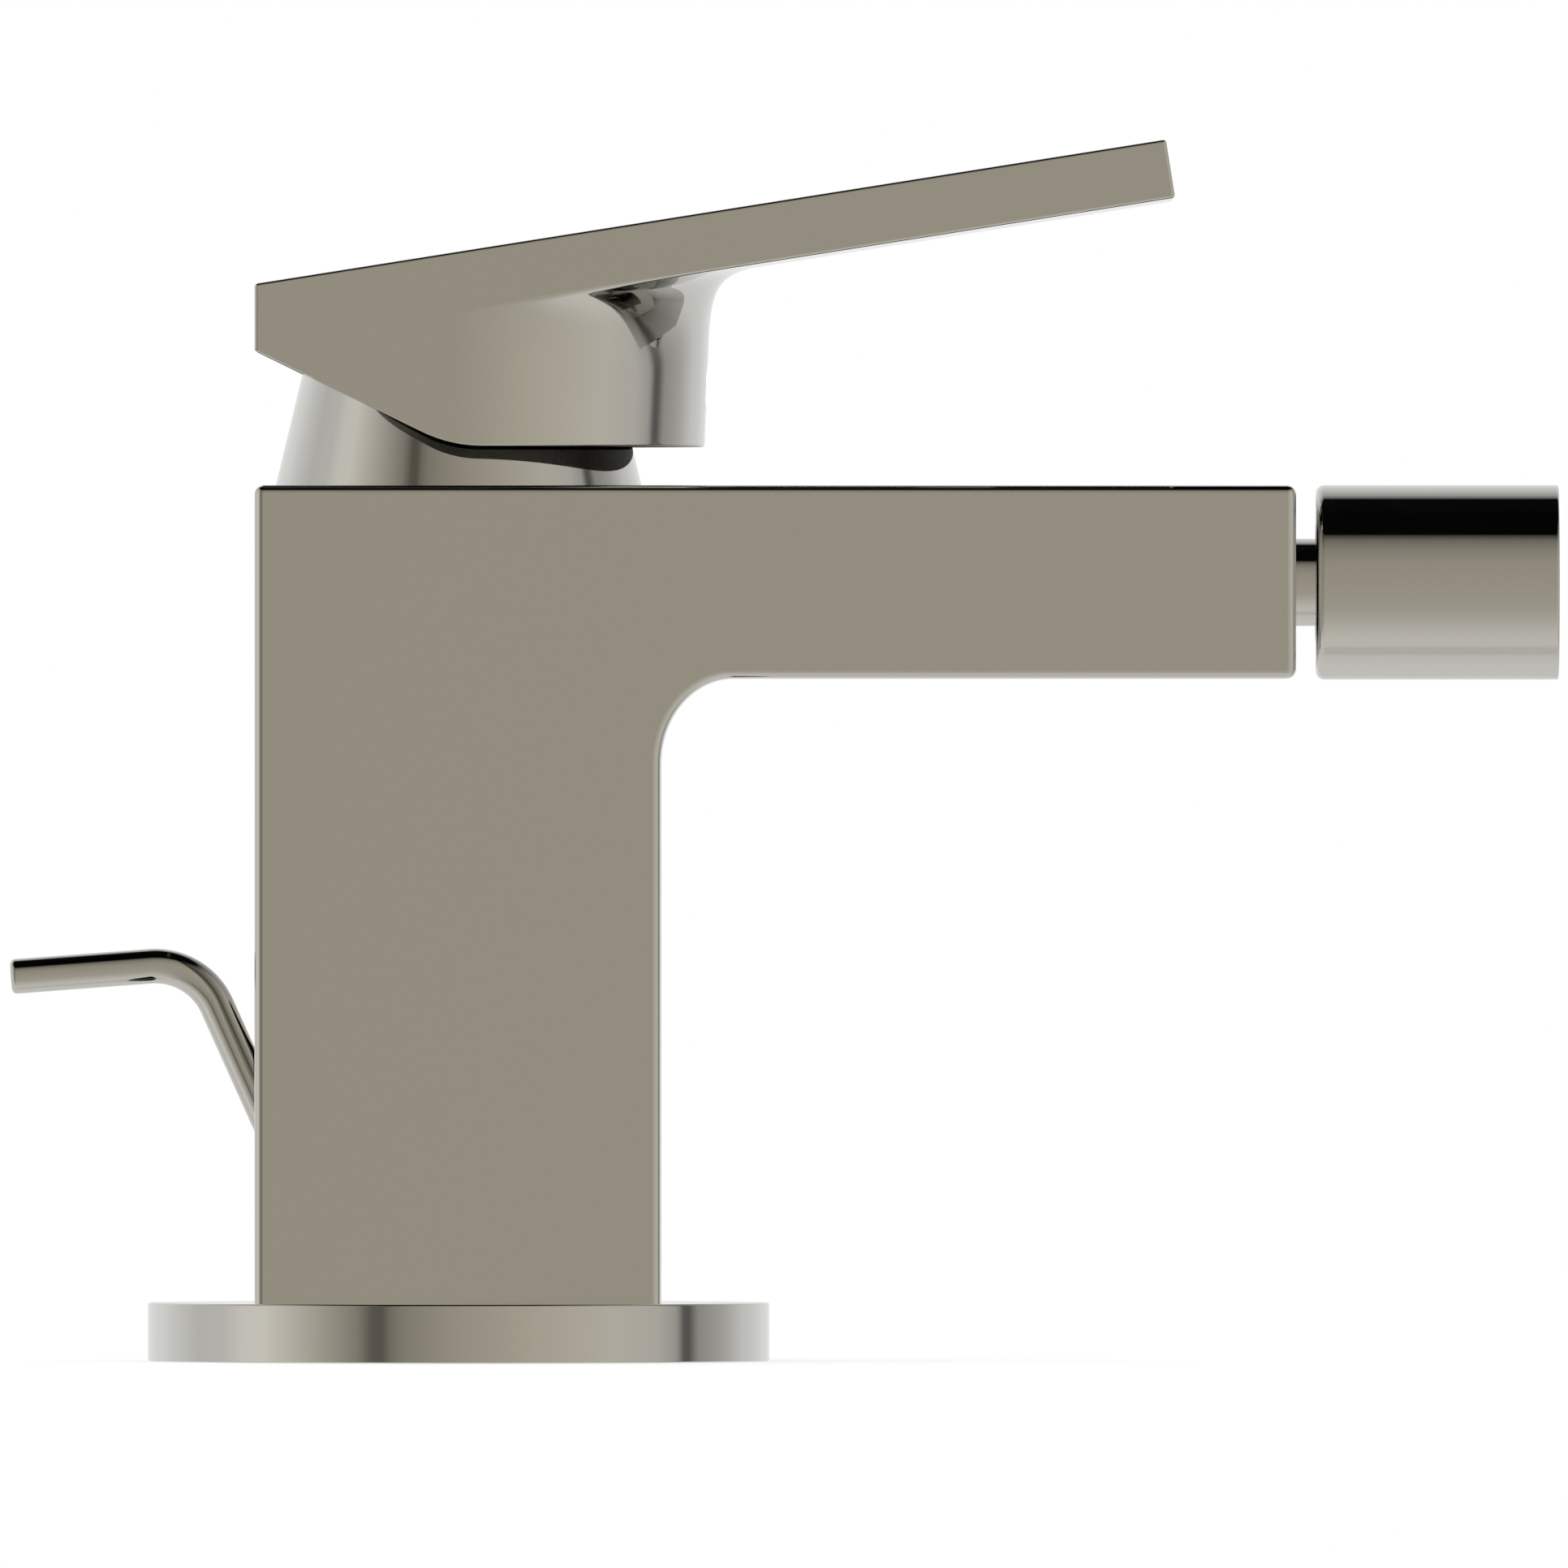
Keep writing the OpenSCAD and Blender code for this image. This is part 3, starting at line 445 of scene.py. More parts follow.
def lapped_alumina():
    """Lapped aluminium oxide ceramic: ivory white with a hard wet gloss and a fine grain."""
    material, tree, shader = new_material("lapped_alumina")
    shader.inputs["Roughness"].default_value = 0.12
    shader.inputs["IOR"].default_value = 1.76
    place = put(tree, "ShaderNodeTexCoord")
    # Sintered grains are some 0.02 mm, drawn 0.2 mm so that they show
    grain = put(tree, "ShaderNodeTexNoise", inputs={
        "Vector": place.outputs["Object"], "Scale": per_mm(0.2), "Detail": 2.0})
    tone = mixed(tree, grain.outputs["Fac"], colour("f1eee6"), colour("f8f6f0"))
    tree.links.new(tone, shader.inputs["Base Color"])
    return material


def drawn_stainless():
    """Stainless steel as drawn or rolled: grey and satin, with fine lines along X."""
    material, tree, shader = new_material("drawn_stainless_steel")
    shader.inputs["Base Color"].default_value = colour("c3c2bf")
    shader.inputs["Metallic"].default_value = 1.0
    place = put(tree, "ShaderNodeTexCoord")
    # Drawing lines 0.1 mm apart and some 3 mm long
    stretched = put(tree, "ShaderNodeMapping", inputs={
        "Vector": place.outputs["Object"], "Scale": (per_mm(3), per_mm(0.1), per_mm(0.1))})
    lines = put(tree, "ShaderNodeTexNoise", inputs={
        "Vector": stretched.outputs["Vector"], "Scale": 1.0, "Detail": 2.0})
    gloss = put(tree, "ShaderNodeMapRange", inputs={
        "Value": lines.outputs["Fac"], "To Min": 0.2, "To Max": 0.36})
    tree.links.new(gloss.outputs["Result"], shader.inputs["Roughness"])
    return material


nickel = polished_nickel()
painted_shade_nickel = unpolished_plate_painted_shade()
brass = turned_brass()
white_acetal = moulded_acetal("moulded_white_acetal", "e9e7df", 0.4)
black_acetal = moulded_acetal("moulded_black_acetal", "2e3034", 0.42)
rubber = moulded_rubber()
alumina = lapped_alumina()
steel = drawn_stainless()
finish_of_slot = {
    "nickel_body": nickel,
    "plain_brass": brass,
    "white_acetal": white_acetal,
    "dark_acetal": black_acetal,
    "seal_rubber": rubber,
    "disc_ceramic": alumina,
    "stainless": steel,
}


# The casting: a square column with a flat arm, cored out from below

def body_outline():
    """Side view of the column and the arm, with the elliptic hollow between them."""
    steps = 24
    hollow = [
        (HALF + FILLET_X * (1 - math.cos(a)), ARM_Z - FILLET_Z * (1 - math.sin(a)))
        for a in [math.pi / 2 * i / steps for i in range(steps + 1)]
    ]
    return (
        [(-HALF, FLANGE_T - 3 * CUT), (HALF, FLANGE_T - 3 * CUT)]
        + hollow
        + [(ARM_REACH, ARM_Z), (ARM_REACH, BODY_TOP), (-HALF, BODY_TOP)]
    )


def make_body():
    """The casting, with its foot cut square, its cores, its seats and the rod's guide inside."""
    piece = side_prism("body_shell", body_outline(), 2 * HALF)
    round_edges(piece, EDGE_R, 6, limit=40)
    wide = HALF + CUT
    shape(piece, "DIFFERENCE", [block("below_foot", (-wide, -wide, -LONG_CUT), (wide, wide, FLANGE_T))])
    core = HALF - BODY_WALL
    arm_end = ARM_REACH - END_WALL
    shape(piece, "UNION", [cylinder("spigot", SPIGOT_R, SPIGOT_Z, FLANGE_T + EDGE_R)])
    shape(piece, "DIFFERENCE", [
        block("column_core", (-core, -core, FOOT_TOP), (core, core, HOLLOW_TOP)),
        cylinder("foot_bore", FOOT_BORE_R, SPIGOT_Z - CUT, FOOT_TOP + CUT),
        block("arm_core", (HALF, -core, ARM_Z + BODY_WALL), (arm_end, core, BODY_TOP - BODY_WALL)),
    ])
    bush_end = BUSH_START + BUSH_LEN
    guide = cylinder("rod_guide", BUSH_R + GUIDE_WALL, -LONG_CUT, bush_end, along_rod(0))
    inside = block("inside", (-HALF + BODY_WALL / 2, -HALF, FLANGE_T), (HALF, HALF, BODY_TOP))
    shape(guide, "INTERSECT", [inside])
    shape(piece, "UNION", [guide])
    for y in (-INLET_Y, INLET_Y):
        place = Matrix.Translation((0, y, 0))
        shape(piece, "DIFFERENCE", [
            cylinder("waterway", INLET_R, HOLLOW_TOP - CUT, SEAT_Z + CUT, place),
            cylinder("pipe_socket", PIPE_R + LOOSE_FIT, HOLLOW_TOP - CUT, HOLLOW_TOP + PIPE_SOCKET, place),
        ])
    shape(piece, "DIFFERENCE", [
        cylinder("chamber", CHAMBER_R, SEAT_Z, BODY_TOP + CUT),
        cylinder("nut_thread", NUT_R, NUT_Z, BODY_TOP + 2 * CUT),
        block("outlet_port", (0, -PORT_HALF, PORT_LOW), (HALF + CUT, PORT_HALF, PORT_TOP)),
        cylinder("nipple_thread", NIPPLE_R + CLOSE_FIT, -CUT, END_WALL + CUT, along_nozzle(arm_end)),
    ])
    shape(piece, "DIFFERENCE", [
        cylinder("rod_way", ROD_R + ROD_GAP, -LONG_CUT, bush_end, along_rod(0), 48),
        cylinder("bush_seat", BUSH_R + CLOSE_FIT, BUSH_START, bush_end + BUSH_ROOM, along_rod(0), 48),
    ])
    smooth(piece)
    return fit(piece, "tap", "nickel_body", nickel, "body_casting")


def make_block():
    """Brass block in the foot, its holes bored to the full depth of their threads."""
    piece = cylinder("block_shell", FOOT_BORE_R - CLOSE_FIT, FLANGE_T, BLOCK_TOP, steps=144)
    flat = ROD_FRONT + BLOCK_FLAT_GAP
    shape(piece, "INTERSECT", [block("flat_rear", (flat, -HALF, 0), (HALF, HALF, BLOCK_TOP + CUT))])
    round_edges(piece, BLOCK_EDGE_R, 3, limit=50)
    for y in (-INLET_Y, INLET_Y):
        place = Matrix.Translation((0, y, 0))
        shape(piece, "DIFFERENCE", [
            cylinder("waterway", INLET_R, FLANGE_T - CUT, BLOCK_TOP + CUT, place),
            cylinder("hose_thread", HOSE_MAJOR_R, FLANGE_T - CUT, FLANGE_T + HOSE_DEPTH, place),
            cylinder("pipe_socket", PIPE_R + LOOSE_FIT, BLOCK_TOP - PIPE_SOCKET, BLOCK_TOP + CUT, place),
        ])
    place = Matrix.Translation((STUD_X, 0, 0))
    shape(piece, "DIFFERENCE", [
        cylinder("stud_thread", STUD_MAJOR_R, FLANGE_T - CUT, FLANGE_T + STUD_DEPTH, place),
    ])
    smooth(piece)
    return fit(piece, "tap", "plain_brass", brass, "inlet_block")


def make_flange():
    """Round flange with its crisp top edge and the seal's groove below."""
    bore = SPIGOT_R + LOOSE_FIT
    seal_out = FLANGE_R - SEAL_RIM
    seal_in = seal_out - SEAL_W
    profile = (
        [(bore, 0), (seal_in, 0), (seal_in, SEAL_GROOVE), (seal_out, SEAL_GROOVE), (seal_out, 0)]
        + arc((FLANGE_R - FLANGE_FOOT_R, FLANGE_FOOT_R), FLANGE_FOOT_R, -90, 0, 3)
        + arc((FLANGE_R - FLANGE_EDGE_R, FLANGE_T - FLANGE_EDGE_R), FLANGE_EDGE_R, 0, 90, 6)
        + [(bore, FLANGE_T)]
    )
    piece = turned("flange_ring", profile, steps=240)
    smooth(piece)
    return fit(piece, "tap", "nickel_body", nickel, "base_flange")


def make_cone():
    """Conical cover over the cartridge's nut."""
    top_r = CONE_R - (CONE_TOP - BODY_TOP) * CONE_SLOPE
    mouth = (CONE_MOUTH_R + CONE_MOUTH_EDGE_R, CONE_TOP - CONE_MOUTH_EDGE_R)
    roof = CONE_TOP - CONE_ROOF
    profile = (
        [(CONE_THREAD_R, BODY_TOP), (CONE_R, BODY_TOP)]
        + arc((top_r - CONE_EDGE_R, CONE_TOP - CONE_EDGE_R), CONE_EDGE_R, 13, 90, 5)
        + arc(mouth, CONE_MOUTH_EDGE_R, 90, 180, 3)
        + [(CONE_MOUTH_R, roof), (CONE_INSIDE_R, roof)]
        + [(CONE_INSIDE_R, CONE_THREAD_TOP), (CONE_THREAD_R, CONE_THREAD_TOP)]
    )
    piece = turned("cone_shell", profile, steps=240)
    smooth(piece)
    return fit(piece, "tap", "nickel_body", nickel, "cone_cover")


# The handle: a flat lever that grows out of a hub with an elliptic nose

def lever_top(x):
    """Height of the lever's upper face."""
    return REAR_TOP + (x + HALF) * math.tan(LEVER_TILT)


def lever_low(x):
    """Height of the lever's lower face."""
    return lever_top(x) - LEVER_T / math.cos(LEVER_TILT)


def hub_low(x):
    """Height of the hub's lower face: flat in front, then an arc into the cut under the rear."""
    flat_x = -HALF + (REAR_LOW - HUB_Z) / math.tan(REAR_CUT) + REAR_CUT_R * math.tan(REAR_CUT / 2)
    cut_x = flat_x - REAR_CUT_R * math.sin(REAR_CUT)
    if x >= flat_x:
        return HUB_Z
    if x >= cut_x:
        return HUB_Z + REAR_CUT_R - math.sqrt(REAR_CUT_R ** 2 - (x - flat_x) ** 2)
    return REAR_LOW - (x + HALF) * math.tan(REAR_CUT)


def halved(low, high, below):
    """The place between low and high up to which a test holds."""
    for _ in range(50):
        middle = (low + high) / 2
        low, high = (middle, high) if below(middle) else (low, middle)
    return low


def hub_column(angle, steps):
    """Points up the hub's wall at an angle round its ellipse, evenly spaced, with the hollow that carries
    it over to the lever. Where the lever's side face is nearer than the hollow is wide, the hollow moves
    up and ends in the lever's lower edge."""
    c, s = math.cos(angle), math.sin(angle)
    if abs(angle) >= math.radians(89.9):
        c, s = 0.0, math.copysign(1, angle)

    def reach(z):
        return NOSE_X + (z - HUB_Z) * math.tan(NOSE_DRAFT)

    # The wall and the lever's lower face would meet at the corner, less than 40 mm up
    corner = halved(HUB_Z, HUB_Z + 40, lambda z: lever_low(reach(z) * c) > z)
    out = Vector((c / reach(corner), s / HALF)).normalized()
    slope = math.atan(out.x * math.tan(LEVER_TILT))
    # The hollow is tight at the nose and slack at the sides
    share = min(1, abs(angle) / SIDE_ANGLE)
    share = share * share * (3 - 2 * share)
    width = NOSE_BLEND + share * (SIDE_BLEND - NOSE_BLEND)
    rest = 1 - NOSE_PULL - share * (SIDE_PULL - NOSE_PULL)
    ends = [Vector((0, -width)), width * Vector((math.cos(slope), math.sin(slope)))]
    pulls = [ends[0], ends[0] * rest, ends[1] * rest, ends[1]]

    def hollow(t, lift=0.0):
        weights = [(1 - t) ** 3, 3 * (1 - t) ** 2 * t, 3 * (1 - t) * t ** 2, t ** 3]
        push, rise = sum((weight * pull for weight, pull in zip(weights, pulls)), Vector((0, 0)))
        z = corner + rise + lift
        return Vector((reach(z) * c + push * out.x, HALF * s + push * out.y, z))

    inside = halved(0, 1, lambda t: abs(hollow(t).y) < HALF) if abs(hollow(1).y) > HALF else 1
    lift = 0.0
    for _ in range(4):
        top = hollow(inside, lift)
        lift += lever_low(top.x) - top.z
    bottom = hub_low(NOSE_X * c)
    path = [Vector((reach(bottom) * c, HALF * s, bottom))]
    fine = 200
    path += [hollow(inside * i / fine, lift) for i in range(fine + 1)]
    run = [0.0]
    for a, b in zip(path, path[1:]):
        run.append(run[-1] + (b - a).length)
    # The last step is short, for the rim's rounding
    last = min(0.6, run[-1] / 8)
    marks = [(run[-1] - last) * k / (steps - 1) for k in range(steps)] + [run[-1]]
    points, i = [], 0
    for mark in marks:
        while i < len(run) - 2 and run[i + 1] < mark:
            i += 1
        share = (mark - run[i]) / max(run[i + 1] - run[i], 1e-9)
        points.append(path[i].lerp(path[i + 1], share))
    if inside < 1:
        points[-1].y = math.copysign(HALF, s)
    points[-1].z = lever_low(points[-1].x)
    return points


def handle_skin():
    """The handle's outside, built face by face, with bevel weights on the edges to be rounded."""
    work = bmesh.new()
    weight = work.edges.layers.float.new("bevel_weight_edge")

    def vertex(x, y, z):
        return work.verts.new((x, y, z))

    def mark(chain, radius):
        for a, b in zip(chain, chain[1:]):
            work.edges.get((a, b))[weight] = radius / LEVER_EDGE_R

    round_steps, levels = 120, 42
    angles = [math.radians(-90 + 180 * j / round_steps) for j in range(round_steps + 1)]
    columns = [[vertex(*point) for point in hub_column(a, levels)] for a in angles]
    rear_steps = 30
    rear_x = [-HALF + HALF * (1 - math.cos(math.pi / 2 * i / rear_steps)) for i in range(rear_steps)]
    rear = {side: [vertex(x, side * HALF, hub_low(x)) for x in rear_x] for side in (-1, 1)}
    tip_z = lever_top(LEVER_REACH)
    low_x = LEVER_REACH + LEVER_T * math.sin(LEVER_TILT)
    low_z = tip_z - LEVER_T * math.cos(LEVER_TILT)
    edge = {
        side: {
            "tip_low": vertex(low_x, side * HALF, low_z),
            "tip_top": vertex(LEVER_REACH, side * HALF, tip_z),
            "rear_top": vertex(-HALF, side * HALF, REAR_TOP),
        }
        for side in (-1, 1)
    }
    # Wall round the nose, and the underside of the hub in strips across it
    for left, right in zip(columns, columns[1:]):
        for k in range(levels):
            work.faces.new((left[k], right[k], right[k + 1], left[k + 1]))
    middle = round_steps // 2
    for j in range(middle):
        outer, inner = columns[j][0], columns[j + 1][0]
        far_outer, far_inner = columns[round_steps - j][0], columns[round_steps - j - 1][0]
        across = [far_inner, inner] if inner is not far_inner else [inner]
        work.faces.new([outer, far_outer] + across)
    lower = {-1: rear[-1] + [columns[0][0]], 1: rear[1] + [columns[-1][0]]}
    for i in range(len(rear_x)):
        work.faces.new((lower[-1][i], lower[1][i], lower[1][i + 1], lower[-1][i + 1]))
    # The hollow runs out on the lever's side, where its rim bounds the side face, and in front underneath
    tops = [column[-1] for column in columns]
    run_out = [i for i, top in enumerate(tops[:middle]) if top.co.y <= -HALF + 1e-6][-1]
    rim = {-1: tops[:run_out + 1], 1: tops[::-1][:run_out + 1]}
    for side, column in ((-1, columns[0]), (1, columns[-1])):
        e = edge[side]
        work.faces.new(lower[side] + column[1:-1] + rim[side] + [e["tip_low"], e["tip_top"], e["rear_top"]])
        for i in range(run_out):
            share = min(1, max(0, rim[side][i].co.x - RIM_START) / RIM_RUN)
            mark(rim[side][i:i + 2], LEVER_EDGE_R * share)
        mark([rim[side][-1], e["tip_low"], e["tip_top"], e["rear_top"], rear[side][0]], LEVER_EDGE_R)
        mark(lower[side], HUB_EDGE_R)
    a, b = edge[-1], edge[1]
    work.faces.new((a["rear_top"], a["tip_top"], b["tip_top"], b["rear_top"]))
    work.faces.new((a["tip_top"], a["tip_low"], b["tip_low"], b["tip_top"]))
    work.faces.new((a["rear_top"], b["rear_top"], rear[1][0], rear[-1][0]))
    work.faces.new(tops[run_out:len(tops) - run_out] + [b["tip_low"], a["tip_low"]])
    for name in ("tip_low", "tip_top", "rear_top"):
        mark([a[name], b[name]], LEVER_EDGE_R)
    mark([rear[-1][0], rear[1][0]], HUB_EDGE_R)
    mark([column[0] for column in columns], HUB_EDGE_R)
    bmesh.ops.recalc_face_normals(work, faces=work.faces)
    mesh = bpy.data.meshes.new("handle_shell")
    work.to_mesh(mesh)
    work.free()
    piece = bpy.data.objects.new("handle_shell", mesh)
    bpy.context.scene.collection.objects.link(piece)
    return piece


def hollow_out(piece):
    """Cuts the hollow over the cone, with more room behind the stem's socket for the lifted handle."""
    hub_bore = cylinder("hub_bore", HUB_BORE_R, HUB_Z - CUT, HUB_CEILING, steps=144)
    shape(hub_bore, "DIFFERENCE", [cylinder("socket", SOCKET_R, SOCKET_Z, HUB_CEILING + CUT)])
    rear_room = cylinder("rear_room", RELIEF_R, HUB_CEILING - CUT / 2, RELIEF_TOP, steps=144)
    front = SOCKET_R / 4
    rear_half = block("rear_half", (-HALF, -HALF, HUB_Z), (front, HALF, RELIEF_TOP + CUT))
    shape(rear_room, "INTERSECT", [rear_half])
    shape(rear_room, "DIFFERENCE", [cylinder("socket", SOCKET_R, SOCKET_Z - CUT, RELIEF_TOP + CUT)])
    shape(piece, "DIFFERENCE", [hub_bore, rear_room])
    w = STEM_W / 2 + CLOSE_FIT
    shape(piece, "DIFFERENCE", [
        block("stem_socket", (-w, -w, SOCKET_Z - CUT), (w, w, SOCKET_TOP)),
        cylinder("grub_hole", GRUB_R, 0, 2 * HALF, along_grub(STEM_W / 2 + GRUB_GAP), 64),
    ])


def break_grub_mouth(piece):
    """Rounds the mouth of the grub screw's hole by a small radius."""
    into_hole = along_grub(NOSE_X).inverted()
    mesh = piece.data
    label = "bevel_weight_edge"
    weights = mesh.attributes.get(label) or mesh.attributes.new(label, "FLOAT", "EDGE")
    for line in mesh.edges:
        ends = [mesh.vertices[i].co for i in line.vertices]
        in_front = all(end.x > NOSE_X - 1 for end in ends)
        on_wall = all(abs((into_hole @ end).xy.length - GRUB_R) < 0.02 for end in ends)
        weights.data[line.index].value = 1.0 if in_front and on_wall else 0.0
    round_edges(piece, GRUB_EDGE_R, 3)


def make_handle():
    """The handle's rounded skin, hollowed out over the cone."""
    piece = handle_skin()
    round_edges(piece, LEVER_EDGE_R, 4)
    hollow_out(piece)
    break_grub_mouth(piece)
    smooth(piece, 38)
    fit(piece, "lever", "nickel_body", nickel, "handle")
    # The hub's underside and its hollow get the dull plate, whose dark colour is painted shade
    piece.data.materials.append(painted_shade_nickel)
    skin = 0.1
    # Faces under the hub and inside its hollow: painted shade where the handle shades itself
    for face in piece.data.polygons:
        centre = face.center / MM
        under = face.normal.z < -0.85 and abs(face.normal.y) < 0.01 and centre.z < REAR_LOW + skin
        in_bore = math.hypot(centre.x, centre.y) < HUB_BORE_R + skin
        if under or (in_bore and HUB_Z < centre.z < RELIEF_TOP + skin):
            face.material_index = 1
    return piece


# The nozzle and the nipple whose ball carries it

def make_nozzle():
    """Turned casing: round rear shoulder, spherical seat inside, and a crisp front edge round the outlet."""
    length = NOZZLE_END - CASING_X
    ball = BALL_X - CASING_X
    rear_r, front_r, mouth_r = CASING_REAR_EDGE_R, CASING_FRONT_EDGE_R, CASING_MOUTH_EDGE_R
    start = math.degrees(math.asin(CASING_HOLE_R / CASING_SEAT_R))
    seat = [(r, h) for h, r in arc((ball, 0), CASING_SEAT_R, 180 - start, 90, 16)]
    profile = (
        [(CASING_HOLE_R, 0)]
        + arc((CASING_R - rear_r, rear_r), rear_r, -90, 0, 10)
        + arc((CASING_R - front_r, length - front_r), front_r, 0, 90, 5)
        + arc((CASING_BORE_R + mouth_r, length - mouth_r), mouth_r, 90, 180, 3)
        + [(CASING_BORE_R, ball)]
        + seat[::-1]
    )
    piece = turned("nozzle_shell", profile, along_nozzle(CASING_X), 192)
    smooth(piece)
    return fit(piece, "nozzle", "nickel_body", nickel, "nozzle_casing")


def make_nipple():
    """Turned nipple: thread inside the arm, a bare neck and the ball."""
    neck_meets = math.degrees(math.asin(NECK_R / BALL_R))
    front = math.degrees(math.acos((BALL_R - BALL_FLAT) / BALL_R))
    ball = [(r, h + BALL_X) for h, r in arc((0, 0), BALL_R, 180 - neck_meets, front, 28)]
    tail = ARM_REACH - END_WALL
    profile = (
        [(NIPPLE_BORE_R, tail), (NIPPLE_R, tail), (NIPPLE_R, ARM_REACH), (NECK_R, ARM_REACH)]
        + ball
        + [(NIPPLE_BORE_R, BALL_X + BALL_R - BALL_FLAT)]
    )
    piece = turned("nipple_shell", profile, along_nozzle(0), 128)
    smooth(piece)
    return fit(piece, "tap", "nickel_body", nickel, "nozzle_nipple")


# The pop-up rod: one round bar with a single bend

def make_rod():
    """The bar as rings of points along its centreline: the foot, the bend and the rounded end."""
    down = Vector((math.sin(ROD_LEAN), 0, -math.cos(ROD_LEAN)))
    out = Vector((-math.cos(ROD_TOP_SLOPE), 0, -math.sin(ROD_TOP_SLOPE)))
    corner = Vector((-HALF, 0, ROD_ENTRY)) - ROD_RISE * down
    turn = math.pi / 2 + ROD_TOP_SLOPE - ROD_LEAN
    centre = corner + ROD_BEND_R / math.cos(turn / 2) * (down + out).normalized()
    foot = corner + (ROD_RISE + (ROD_ENTRY - ROD_FOOT) / math.cos(ROD_LEAN)) * down
    bend_steps, end_steps, steps = 40, 8, 160
    # Each station is a point of the centreline, the line's direction and the bar's radius there
    stations = [(foot, down, 0.0), (foot, down, ROD_R)]
    for i in range(bend_steps + 1):
        direction = down.copy()
        direction.rotate(Matrix.Rotation(-turn * i / bend_steps, 3, "Y"))
        across = direction.cross(Vector((0, 1, 0)))
        stations.append((centre + ROD_BEND_R * across, direction, ROD_R))
    tip = corner + ROD_RUN * out
    for i in range(end_steps + 1):
        a = math.pi / 2 * i / end_steps
        point = tip - ROD_END_R * (1 - math.sin(a)) * out
        stations.append((point, stations[-1][1], ROD_R - ROD_END_R * (1 - math.cos(a))))
    stations.append((tip, stations[-1][1], 0.0))
    points, faces = [], []
    for point, direction, radius in stations:
        across = direction.cross(Vector((0, 1, 0)))
        for k in range(steps):
            a = 2 * math.pi * k / steps
            points.append(point + radius * (math.cos(a) * across + math.sin(a) * Vector((0, 1, 0))))
    for i in range(len(stations) - 1):
        for k in range(steps):
            j = (k + 1) % steps
            faces.append((i * steps + k, i * steps + j, (i + 1) * steps + j, (i + 1) * steps + k))
    piece = solid("rod_bar", points, faces)
    smooth(piece)
    return fit(piece, "rod", "nickel_body", nickel, "popup_rod")


# Repeated features, made with Geometry Nodes

def new_geometry_tree(name, sizes):
    """A geometry tree with named number inputs, and its input and output nodes."""
    tree = bpy.data.node_groups.new(name, "GeometryNodeTree")
    for label, value in sizes.items():
        kind = "NodeSocketInt" if isinstance(value, int) else "NodeSocketFloat"
        socket = tree.interface.new_socket(label, in_out="INPUT", socket_type=kind)
        socket.default_value = value
    tree.interface.new_socket("Geometry", in_out="OUTPUT", socket_type="NodeSocketGeometry")
    return tree, tree.nodes.new("NodeGroupInput").outputs


def maths(tree, operation, a, b=0.0, c=0.0):
    """One sum on numbers or sockets."""
    return put(tree, "ShaderNodeMath", {"operation": operation}, {0: a, 1: b, 2: c}).outputs[0]


def perforated_disc():
    """A disc with a hole at its centre and rings of six, twelve, eighteen holes and so on round it.

    Hole n is in ring ceil((sqrt(12 n + 9) - 3) / 6), and ring r starts with hole 3 r (r - 1) + 1."""
    tree, given = new_geometry_tree("perforated_disc", {
        "Disc Radius": 8.6, "Thickness": 1.2, "Holes": 61, "Ring Pitch": 1.8, "Hole Radius": 0.6})
    number = put(tree, "GeometryNodeInputIndex").outputs[0]
    root = maths(tree, "SQRT", maths(tree, "ADD", maths(tree, "MULTIPLY", number, 12.0), 9.0))
    exact = maths(tree, "DIVIDE", maths(tree, "SUBTRACT", root, 3.0), 6.0)
    ring = maths(tree, "CEIL", maths(tree, "SUBTRACT", exact, 1e-4))
    pairs = maths(tree, "MULTIPLY", ring, maths(tree, "SUBTRACT", ring, 1.0))
    first = maths(tree, "MULTIPLY_ADD", pairs, 3.0, 1.0)
    in_ring = maths(tree, "MAXIMUM", maths(tree, "MULTIPLY", ring, 6.0), 1.0)
    turn = maths(tree, "DIVIDE", maths(tree, "SUBTRACT", number, first), in_ring)
    angle = maths(tree, "MULTIPLY", turn, 2 * math.pi)
    distance = maths(tree, "MULTIPLY", ring, given["Ring Pitch"])
    place = put(tree, "ShaderNodeCombineXYZ", inputs={
        "X": maths(tree, "MULTIPLY", distance, maths(tree, "COSINE", angle)),
        "Y": maths(tree, "MULTIPLY", distance, maths(tree, "SINE", angle))})
    centres = put(tree, "GeometryNodePoints", inputs={"Count": given["Holes"], "Position": place.outputs[0]})
    drill = put(tree, "GeometryNodeMeshCylinder", inputs={
        "Vertices": 24, "Radius": given["Hole Radius"],
        "Depth": maths(tree, "MULTIPLY", given["Thickness"], 2.0)})
    holes = put(tree, "GeometryNodeInstanceOnPoints", inputs={
        "Points": centres.outputs[0], "Instance": drill.outputs["Mesh"]})
    apart = put(tree, "GeometryNodeRealizeInstances", inputs={"Geometry": holes.outputs[0]})
    disc = put(tree, "GeometryNodeMeshCylinder", inputs={
        "Vertices": 96, "Radius": given["Disc Radius"], "Depth": given["Thickness"]})
    cut = put(tree, "GeometryNodeMeshBoolean", {"operation": "DIFFERENCE"}, {
        "Mesh 1": disc.outputs["Mesh"], "Mesh 2": apart.outputs[0]})
    whole = put(tree, "GeometryNodeRealizeInstances", inputs={"Geometry": cut.outputs["Mesh"]})
    painted = put(tree, "GeometryNodeSetMaterial", inputs={"Geometry": whole.outputs[0], "Material": steel})
    put(tree, "NodeGroupOutput", inputs={"Geometry": painted.outputs[0]})
    return tree


